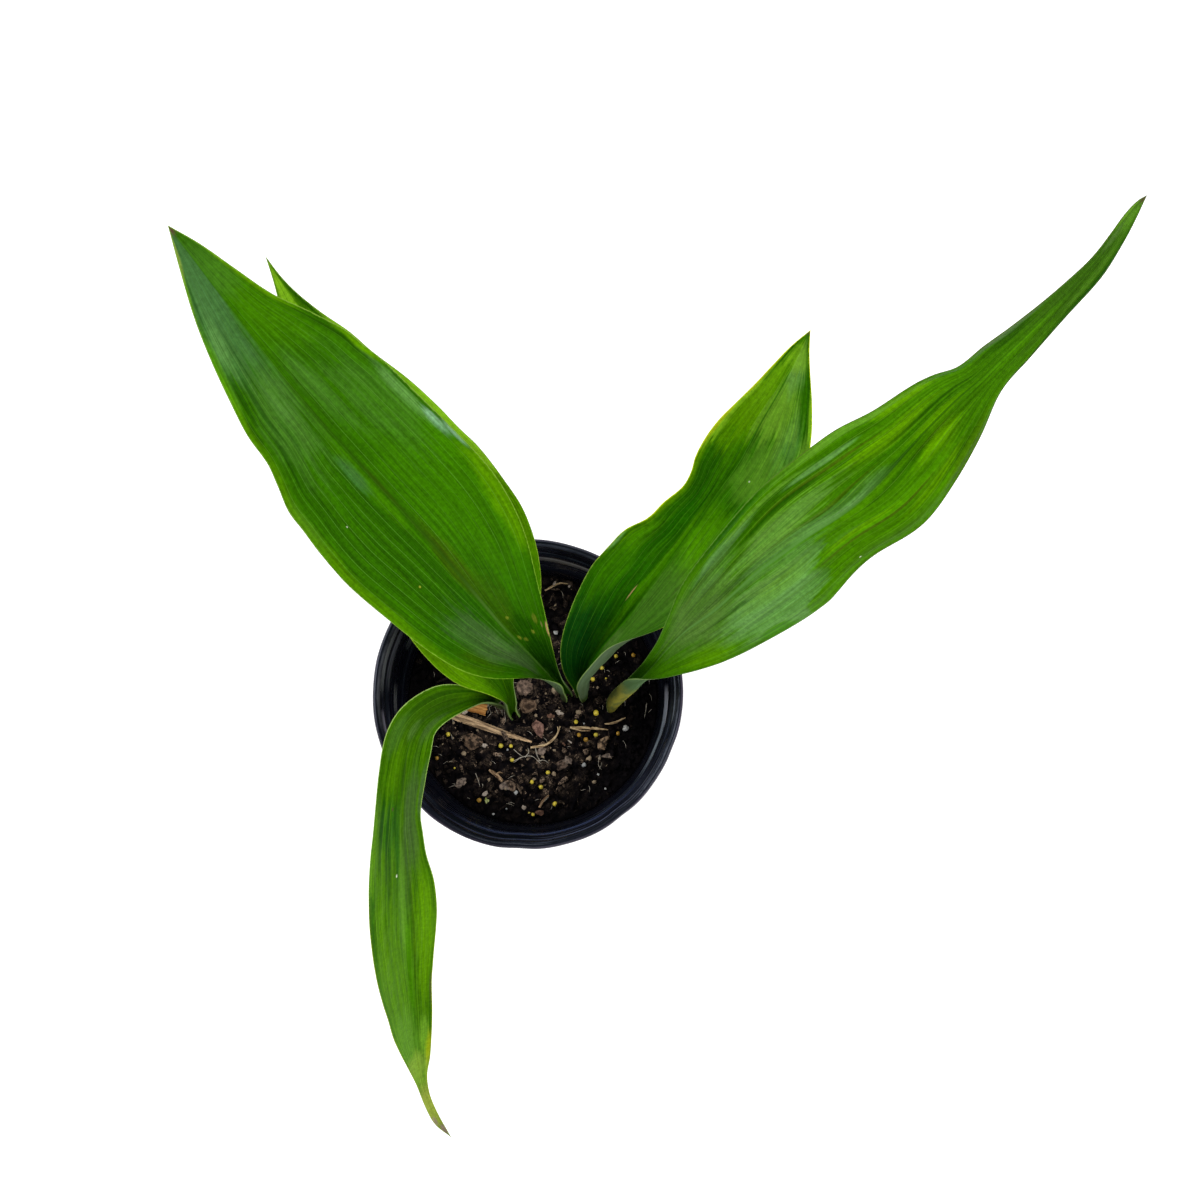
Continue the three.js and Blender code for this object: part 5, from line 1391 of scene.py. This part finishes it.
def make_crumbs():
    """Crumbs, flakes and splinters of peat and bark that lie loose all over the mix."""
    dice = random.Random(CRUMB_SEED)
    parts = []
    for fineness, count, least, most, amount in CRUMB_SIZES:
        template, links = ball(fineness)
        for _ in range(count):
            x, y, reach = random_place(dice, MIX_RADIUS - 1.5)
            size = least + (most - least) * dice.random() ** 2
            kind = dice.random()
            stretch = (1, 1, 0.8)
            if kind > SPLINTERS_ABOVE:
                stretch = (2.6, 0.45, 0.4)
            elif kind > FLAKES_ABOVE:
                stretch = (1.2, 0.9, 0.35)
            piece = broken(rough(template, dice, amount), dice, 4)
            placed = turned_points(piece * stretch, dice, 0.5) * size
            room = MIX_RADIUS - 0.2 - np.hypot(placed[:, 0] + x, placed[:, 1] + y).max()
            if room < 0:
                x, y = x * (1 + room / reach), y * (1 + room / reach)
            # The crumb's paleness carries painted shade, and fewer warm pale crumbs lie where that shade
            # falls.
            pale = dice.random() ** 4.0
            warm = 1.0 if dice.random() < 0.06 * painted_shade_factor(x, y) else dice.uniform(0, 0.7)
            shade = (pale * painted_shade_factor(x, y), warm)
            parts.append((placed + (x, y, ground_at(x, y) + 0.25 * size), links, [shade] * len(placed)))
    points, faces, shades = gathered(parts)
    return new_piece("mix_crumbs", points, faces, [MIX], (), {"shade": shades})


def make_chips():
    """Angular chips of dark bark and clods among the crumbs, fewer at the right, where the mix is bare."""
    dice = random.Random(CRUMB_SEED + 2)
    template, links = ball(2)
    parts = []
    while len(parts) < CHIPS:
        x, y, _ = random_place(dice, MIX_RADIUS - 5)
        if x > 20 and dice.random() < 0.8:
            continue
        size = dice.uniform(1.2, 2.9)
        stretch = (dice.uniform(0.9, 2.0), dice.uniform(0.55, 1.0), dice.uniform(0.3, 0.6))
        placed = turned_points(broken(rough(template, dice, 0.9), dice, 7) * stretch, dice, 0.45) * size
        # The chip's paleness carries painted shade.
        shade = (dice.random() ** 3.4 * painted_shade_factor(x, y), dice.uniform(0, 0.85))
        parts.append((placed + (x, y, ground_at(x, y) + 0.3 * size), links, [shade] * len(placed)))
    points, faces, shades = gathered(parts)
    return new_piece("mix_chips", points, faces, [MIX], (), {"shade": shades}, flat=True)


def make_prills(name, rows, material, amount=0.12, flatness=1.0):
    """Round prills or grains that lie half sunk in the mix."""
    dice = random.Random(len(name))
    template, links = ball(3)
    parts = []
    for x, y, radius in rows:
        placed = turned_points(rough(template, dice, amount) * (1, 0.94, flatness), dice, 0.5)
        ground = float(mix_surface(x, y)) + 0.9 + 0.3 * radius
        parts.append((placed * radius + (x, y, ground), links, [(dice.random(), 0.0)] * len(placed)))
    points, faces, shades = gathered(parts)
    return new_piece(name, points, faces, [material], (), {"shade": shades})


MIX = mix_material()
make_mix()
make_crumbs()
make_chips()
make_prills("prills_yellow", YELLOW_PRILLS,
            prill_material("prill_yellow", rgb(0.80, 0.62, 0.05), rgb(0.56, 0.46, 0.05)))
make_prills("prills_orange", ORANGE_PRILLS,
            prill_material("prill_orange", rgb(0.50, 0.27, 0.02), rgb(0.36, 0.20, 0.03)))
make_prills("grains_pale", PALE_GRAINS,
            prill_material("grain_pale", rgb(0.52, 0.52, 0.50), rgb(0.26, 0.27, 0.27)), 0.5, 0.85)


# Bark, dead leaf and twigs on the mix

def make_bark(number, row, dark, light, layers):
    """A chip of bark: a broken flake with a few bulges and worn layers."""
    x, y, length, width, height, heading = row
    template, links = ball(5)
    turn = np.arctan2(template[:, 1], template[:, 0])
    bulge = 1 + 0.16 * np.sin(3 * turn + x) + 0.1 * np.sin(5 * template[:, 2])
    placed = broken(template * bulge[:, None], random.Random(number * 5), 9, 0.62, 0.92)
    relief = []
    for point in placed:
        place = Vector(point) * 2.2 + Vector((number * 7.0, 0, 0))
        ledge = noise.noise(Vector((place.x * 0.6, place.y * 0.6, place.z * layers)))
        relief.append(0.10 * ledge + 0.09 * noise.fractal(place * 3.0, 0.9, 2.0, 4) - 0.05)
    placed = placed * (1 + np.array(relief))[:, None] * (length / 2, width / 2, height / 2)
    placed = turned_about_up(placed, heading) + (x, y, MIX_HEIGHT + 0.2 * height)
    node = "bark_chip_%d" % number
    material = dry_material("bark_%d" % number, dark, light, 420.0, None, 0.85, 0.0009)
    return new_piece(node + "_worn", placed, links, [material], (node,))


def tube(route, radii, sides, steps):
    """A tube along a smooth route, with radii at even shares of its length: points, faces and grain map."""
    line, length = spaced_curve(route, steps * (len(route) - 1))
    ahead = np.gradient(line, axis=0)
    ahead /= np.linalg.norm(ahead, axis=1)[:, None]
    shares = np.linspace(0, 1, len(line))
    radius = np.interp(shares, np.linspace(0, 1, len(radii)), radii)
    points, grain = [], []
    for i, place in enumerate(line):
        side = np.cross(ahead[i], (0, 0, 1))
        side /= np.linalg.norm(side)
        top = np.cross(side, ahead[i])
        for j in range(sides):
            turn = 2 * math.pi * j / sides
            points.append(place + radius[i] * (math.cos(turn) * side + math.sin(turn) * top))
            grain.append((shares[i] * length * MM, turn * radius[i] * MM))
    faces = grid_faces(len(line), sides, turned=True, closed=True)
    faces.append(tuple(range(sides)))
    faces.append(tuple(reversed(range((len(line) - 1) * sides, len(line) * sides))))
    return np.array(points), faces, grain


def above(rows):
    """Points (x, y, rise) over the mix as places in space."""
    return [(x, y, MIX_HEIGHT + rise) for x, y, rise in rows]


# Each bark chip's dark and light tones, and how closely its worn layers lie.
BARK_TONES = [
    (rgb(0.070, 0.048, 0.036), rgb(0.300, 0.205, 0.150), 5.0),
    (rgb(0.040, 0.023, 0.014), rgb(0.250, 0.160, 0.100), 6.0),
    (rgb(0.120, 0.062, 0.048), rgb(0.380, 0.215, 0.160), 3.0),
    (rgb(0.018, 0.011, 0.007), rgb(0.270, 0.175, 0.110), 5.0),
    (rgb(0.024, 0.015, 0.009), rgb(0.430, 0.285, 0.170), 5.0),
    (rgb(0.012, 0.007, 0.005), rgb(0.200, 0.135, 0.100), 5.0),
    (rgb(0.024, 0.015, 0.010), rgb(0.350, 0.240, 0.165), 4.0),
]
for number, (row, (dark, light, layers)) in enumerate(zip(BARK_ROWS, BARK_TONES), start=1):
    make_bark(number, row, dark, light, layers)

STRAW = dry_material(
    "straw", rgb(0.20, 0.11, 0.05), rgb(0.85, 0.66, 0.38), 900.0, (0.25, 1.6, 1.0), 0.6, 0.0002
)
TWIG = dry_material(
    "twig", rgb(0.10, 0.055, 0.028), rgb(0.62, 0.42, 0.24), 700.0, (0.3, 1.5, 1.0), 0.75, 0.0003
)
ROOT = dry_material(
    "root_thread", rgb(0.30, 0.26, 0.20), rgb(0.62, 0.58, 0.50), 1500.0, (0.5, 1.0, 1.0), 0.6, 0.0001
)
DEAD_LEAF = dry_material(
    "dead_leaf", rgb(0.13, 0.082, 0.045), rgb(0.68, 0.47, 0.27), 500.0, (0.12, 1.5, 1.0), 0.7, 0.0003
)
SHEATH = dry_material(
    "dead_sheath", rgb(0.30, 0.12, 0.025), rgb(0.62, 0.32, 0.09), 500.0, (0.15, 1.4, 1.0), 0.55, 0.0003
)


def make_twig(node, radius, rows, material, taper, forks=()):
    """A twig or straw with a worn skin and tapering ends, and thin forks off it."""
    parts = [tube(above(rows), [radius * share for share in taper], 12, 14)]
    for fork in forks:
        parts.append(tube(above(fork), [radius * 0.5, radius * 0.4, radius * 0.2], 8, 8))
    points, faces, grain = gathered(parts)
    dice = random.Random(len(node) * 3)
    shift = Vector((dice.uniform(0, 50), 0, 0))
    middle = points.mean(axis=0)
    wear = np.array([noise.noise(Vector(point - middle) * 0.9 + shift) for point in points])
    points = points + np.c_[wear * 0.18, wear * 0.14, wear * 0.16] * radius
    return new_piece(node + "_worn", points, faces, [material], (node,), {"grain": grain})


make_twig("twig_bent", 0.9, [(-1, -28.5, 0.6), (7.7, -26.8, 1), (13.3, -22, 1), (15.6, -16.5, 0.8)],
          STRAW, (0.8, 0.9, 0.7, 0.45), [[(13.3, -22, 1.1), (14.6, -19.6, 1.8), (14.2, -16.6, 2.0)]])
make_twig("straw_right", 0.9, [(21.3, -17.2, 0.8), (32, -17.4, 1), (43, -18.4, 0.7)],
          STRAW, (0.75, 0.85, 0.9, 0.35), [[(22, -17.6, 1.0), (28, -18.9, 1.3), (33, -19.0, 1.0)]])
make_twig("twig_front", 0.8, [(4.2, -62, 0.6), (6.5, -58, 0.9), (9.6, -55, 0.7)],
          TWIG, (0.9, 1.0, 0.8, 0.5))
make_twig("straw_back", 0.7, [(6.4, 62, 0.5), (14, 66, 0.8), (20, 66, 0.5)],
          STRAW, (0.8, 0.9, 0.7, 0.4))
make_twig("stick_front", 1.1, [(-24.5, -41, 0.8), (-19, -45, 1.2), (-17, -47.5, 0.9)],
          TWIG, (0.7, 1.0, 1.0, 0.9), [[(-21, -43.6, 1.4), (-18.5, -42.5, 2.0), (-16.6, -42.8, 2.0)]])
make_twig("sliver_right", 0.8, [(41, -15.2, 0.9), (46.5, -14.4, 1.1), (53, -11.5, 0.8)],
          STRAW, (0.5, 0.85, 0.8, 0.5))


def slab(outline, thickness, bow, steps_across):
    """A thin strip between two edges given as (x, y) pairs along it: points, faces and grain map."""
    rows = len(outline)
    points, grain = [], []
    for face in (1, -1):
        for i, ((x0, y0), (x1, y1)) in enumerate(outline):
            for j in range(steps_across + 1):
                t = j / steps_across
                edge = 1 - abs(2 * t - 1) ** 4
                lift = bow(i / (rows - 1), t) + face * thickness / 2 * (0.35 + 0.65 * edge)
                points.append((x0 + (x1 - x0) * t, y0 + (y1 - y0) * t, lift))
                grain.append((x0 * MM, (y0 + (y1 - y0) * t) * MM))
    columns = steps_across + 1
    second = rows * columns
    faces = grid_faces(rows, columns, turned=True) + grid_faces(rows, columns, second)
    for i in range(rows - 1):
        a, b = i * columns, (i + 1) * columns
        faces.append((a, b, b + second, a + second))
        a, b = a + columns - 1, b + columns - 1
        faces.append((a, a + second, b + second, b))
    for i, turned in ((0, False), (rows - 1, True)):
        for j in range(columns - 1):
            a = i * columns + j
            face = (a, a + second, a + 1 + second, a + 1)
            faces.append(face if turned else face[::-1])
    return np.array(points), faces, grain


def make_dry_strip():
    """The long strip of a dead leaf: fibrous, tapering, with a frayed broad end."""
    count, length, thickness = 90, 50, 0.95
    outline = []
    for i in range(count + 1):
        t = i / count
        x = -length / 2 + length * t
        lower = -2.6 * (1 - t) ** 2 - 3.6 * 2 * t * (1 - t) - 0.5 * t**2
        upper = 2.4 * (1 - t) ** 2 + 1.6 * 2 * t * (1 - t) + 0.5 * t**2
        fray = 0.28 * noise.noise(Vector((x * 1.1, 0, 0))) + 0.16 * noise.noise(Vector((x * 3.1, 4, 0)))
        outline.append(((x, lower + fray), (x, upper - 0.6 * fray)))

    def bow(share, t):
        ridge = 0.28 * math.sin(5.5 * math.pi * t + 0.6) * (1 - 0.5 * share)
        return 0.6 + 0.25 * math.sin(2.2 * math.pi * share) + ridge

    points, faces, grain = slab(outline, thickness, bow, 16)
    points = turned_about_up(points, -19) + (-24, -17.2, MIX_HEIGHT + 0.7)
    return new_piece(
        "dry_strip_fibrous", points, faces, [DEAD_LEAF], ("dry_strip",), {"grain": grain}
    )


def make_dry_sheath():
    """The dead sheath scrap: a short curled tongue with a ragged rim."""
    count, columns = 40, 18
    curl_radius, half_length = 3.6, 7
    points, grain = [], []
    a = math.radians(76)
    for face in (1, -1):
        for i in range(count + 1):
            t = i / count
            for j in range(columns + 1):
                turn = math.radians(25 + 130 * j / columns)
                radius = curl_radius + face * 0.4 * (1 - abs(2 * j / columns - 1) ** 4 * 0.7)
                radius += 0.25 * math.sin(turn * 9) + 0.15 * noise.noise(Vector((t * 8, turn * 2, 0)))
                ragged = 0.9 * noise.noise(Vector((turn * 3, 5, 0))) * (2 * t - 1)
                run = -half_length + 2 * half_length * t + ragged
                x, z = radius * math.cos(turn), radius * math.sin(turn)
                points.append((x * math.cos(a) - run * math.sin(a), x * math.sin(a) + run * math.cos(a), z))
                grain.append((run * MM, turn * curl_radius * MM))
    rows, width = count + 1, columns + 1
    second = rows * width
    faces = grid_faces(rows, width) + grid_faces(rows, width, second, turned=True)
    for i in range(rows - 1):
        p, q = i * width, (i + 1) * width
        faces.append((p, p + second, q + second, q))
        p, q = p + width - 1, q + width - 1
        faces.append((p, q, q + second, p + second))
    for i, turned in ((0, True), (rows - 1, False)):
        for j in range(width - 1):
            p = i * width + j
            face = (p, p + second, p + 1 + second, p + 1)
            faces.append(face if turned else face[::-1])
    points = np.array(points) + (-33, -5.6, MIX_HEIGHT - 1)
    return new_piece(
        "dry_sheath_curled", points, faces, [SHEATH], ("dry_sheath",), {"grain": grain}
    )


make_dry_strip()
make_dry_sheath()


def make_threads():
    """Fine pale root threads, the web of fibres beside the dead sheath, and short threads all over."""
    web_fibres, short_threads = 26, 70
    branches = [
        [(-10.6, -36.1, 1.6), (-5.4, -33.8, 2.1), (-0.2, -33.4, 2.0), (3.3, -36.1, 1.8), (6.6, -39.1, 1.4)],
        [(-10.6, -29.5, 1.5), (-7.7, -32.0, 1.9), (-5.2, -33.6, 2.0)],
        [(-6.5, -33.9, 2.0), (-9.1, -36.1, 1.5), (-10.6, -36.9, 1.1)],
        [(1.7, -28.6, 1.5), (2.9, -33.4, 1.8), (5.1, -36.6, 1.6)],
        [(3.3, -36.1, 1.8), (6.6, -35.6, 1.9), (9.4, -37.4, 1.2)],
        [(-32.1, -42.9, 1.0), (-30.6, -46.3, 1.8), (-29.4, -50.3, 1.2)],
        [(38.4, -32.6, 1.4), (37.4, -37.8, 1.0), (39.2, -41.0, 1.2)],
        [(65.0, -3.2, 1.2), (64.4, -7.8, 1.8), (63.6, -11.9, 1.2)],
        [(-4.0, -34.0, 2.0), (-2.0, -31.0, 2.2), (-2.6, -28.6, 1.6)],
    ]
    parts = [tube(above(rows), [0.22, 0.18, 0.09], 8, 8) for rows in branches]
    dice = random.Random(23)
    for _ in range(web_fibres):
        x, y = dice.gauss(-18.5, 3.2), dice.gauss(-2.2, 3.0)
        turn, reach = dice.uniform(0, 3.14), dice.uniform(1.5, 5.0)
        rise = dice.uniform(0.8, 3.4)
        dx, dy = math.cos(turn) * reach, math.sin(turn) * reach
        rows = [(x - dx, y - dy, rise), (x, y, rise + dice.uniform(0.2, 1.2)), (x + dx, y + dy, rise)]
        parts.append(tube(above(rows), [0.09, 0.10, 0.05], 6, 5))
    for _ in range(short_threads):
        reach, turn = 68 * math.sqrt(dice.random()), dice.uniform(0, 6.28)
        x, y = reach * math.cos(turn), reach * math.sin(turn)
        aim, long = dice.uniform(0, 6.28), dice.uniform(0.8, 2.6)
        ends = [(x + k * long * math.cos(aim), y + k * long * math.sin(aim), 1.0) for k in (-1, 1)]
        rows = [ends[0], (x + 0.4, y + 0.3, 1.7), ends[1]]
        parts.append(tube(above(rows), [0.10, 0.13, 0.07], 6, 4))
    points, faces, grain = gathered(parts)
    return new_piece("root_threads", points, faces, [ROOT], (), {"grain": grain})


def make_scraps():
    """Small scraps of leaf and bark between the chips."""
    # Each scrap's place, length, width and tone.
    rows = [
        (-26.5, -54.3, 3.2, 2.2, "white"), (-25.8, -58.3, 3.2, 2.6, "green"),
        (-40.4, -48.0, 6.5, 4.2, "grey"), (-38.3, -7.8, 3.6, 2.6, "white"),
        (-27.3, -27.2, 3.0, 2.0, "white"), (10.1, -10.7, 4.0, 2.6, "red"), (15.3, -8.7, 4.4, 2.0, "white"),
        (20.1, -36.1, 5.5, 4.2, "grey"), (-4.5, -62.0, 2.8, 2.0, "white"), (4.6, -64.9, 4.6, 2.6, "red"),
        (5.0, -30.5, 4.0, 6.0, "grey"), (41.5, -33.0, 6.5, 2.2, "grey"), (-14.8, -49.8, 6.0, 4.6, "grey"),
        (20.6, 64.8, 2.2, 1.4, "white"), (12.0, 66.2, 3.2, 1.2, "white"), (-11.0, 12.0, 4.0, 2.5, "grey"),
        (17.7, -26.3, 2.5, 0.9, "red"), (21.2, -25.1, 2.6, 0.8, "white"),
    ]
    tones = {
        "white": (rgb(0.30, 0.24, 0.19), rgb(0.60, 0.52, 0.44)),
        "green": (rgb(0.24, 0.30, 0.07), rgb(0.52, 0.56, 0.24)),
        "grey": (rgb(0.085, 0.065, 0.052), rgb(0.300, 0.225, 0.175)),
        "red": (rgb(0.080, 0.040, 0.025), rgb(0.220, 0.120, 0.080)),
    }
    template, links = ball(4)
    dice = random.Random(31)
    for tone, (dark, light) in tones.items():
        parts = []
        for x, y, length, width, own_tone in rows:
            if own_tone != tone:
                continue
            flat = rough(template, dice, 0.75) * (length / 2, width / 2, 0.55)
            placed = turned_points(flat, dice, 0.25) + (x, y, float(mix_surface(x, y)) + 1.1)
            parts.append((placed, links, []))
        points, faces, _ = gathered(parts)
        material = dry_material("scrap_" + tone, dark, light, 600.0, None, 0.8, 0.0003)
        new_piece("scraps_" + tone, points, faces, [material])


make_threads()
make_scraps()

# The rhizome keeps the model's own form.
rhizome = bpy.data.objects["rhizome"]
rhizome.data.materials.clear()
rhizome.data.materials.append(
    dry_material("rhizome_skin", rgb(0.12, 0.07, 0.035), rgb(0.34, 0.24, 0.13), 260.0, None, 0.7, 0.0005)
)


# Floor, lights and camera, in metres

LIGHT_AIM = (0, 0, 0.2)


def make_floor():
    mesh = bpy.data.meshes.new("floor")
    reach = 4.0
    corners = [(-reach, -reach, 0), (reach, -reach, 0), (reach, reach, 0), (-reach, reach, 0)]
    mesh.from_pydata(corners, [], [(0, 1, 2, 3)])
    glow = {"Emission Color": rgb(1, 1, 1), "Emission Strength": 0.3}
    made, s, skin = new_material("pale_floor", **{"Roughness": 0.9, "Specular IOR Level": 0.1}, **glow)
    tone = s.noise(s.object_place(), 3.0, 2.0)
    s.feed(skin["Base Color"], s.mix(tone, rgb(0.93, 0.93, 0.93), rgb(0.96, 0.96, 0.96)))
    mesh.materials.append(made)
    floor = bpy.data.objects.new("floor", mesh)
    bpy.context.scene.collection.objects.link(floor)


def make_light(name, place, size, power):
    """A soft round lamp, aimed at the plant."""
    lamp = bpy.data.lights.new(name, "AREA")
    lamp.shape, lamp.size, lamp.energy = "DISK", size, power
    made = bpy.data.objects.new(name, lamp)
    made.location = place
    made.rotation_euler = (Vector(LIGHT_AIM) - Vector(place)).to_track_quat("-Z", "Y").to_euler()
    made.visible_camera = False
    bpy.context.scene.collection.objects.link(made)
    return made


def make_camera():
    lens = bpy.data.cameras.new("camera")
    lens.lens, lens.sensor_width, lens.sensor_fit = CAMERA_LENS, 36.0, "HORIZONTAL"
    lens.clip_start, lens.clip_end = 0.02, 50.0
    made = bpy.data.objects.new("camera", lens)
    made.location = Vector(CAMERA_PLACE) * MM
    made.rotation_euler = Euler((math.radians(CAMERA_TILT), 0.0, 0.0))
    bpy.context.scene.collection.objects.link(made)
    bpy.context.scene.camera = made


make_floor()
make_camera()
make_light("soft_left", (-1.7, 0.5, 1.7), 1.8, 45.0)
make_light("soft_right", (1.7, -0.4, 1.7), 1.6, 32.0)
make_light("soft_back", (0.2, 1.9, 1.5), 1.4, 16.0)
make_light("soft_front", (0.3, -1.9, 1.6), 1.4, 14.0)

world = bpy.data.worlds.new("studio")
world.use_nodes = True
background = world.node_tree.nodes["Background"].inputs
background["Color"].default_value = rgb(1.0, 1.0, 1.0)
background["Strength"].default_value = 0.3
bpy.context.scene.world = world
bpy.context.scene.view_settings.view_transform = "Standard"

bpy.context.view_layer.update()
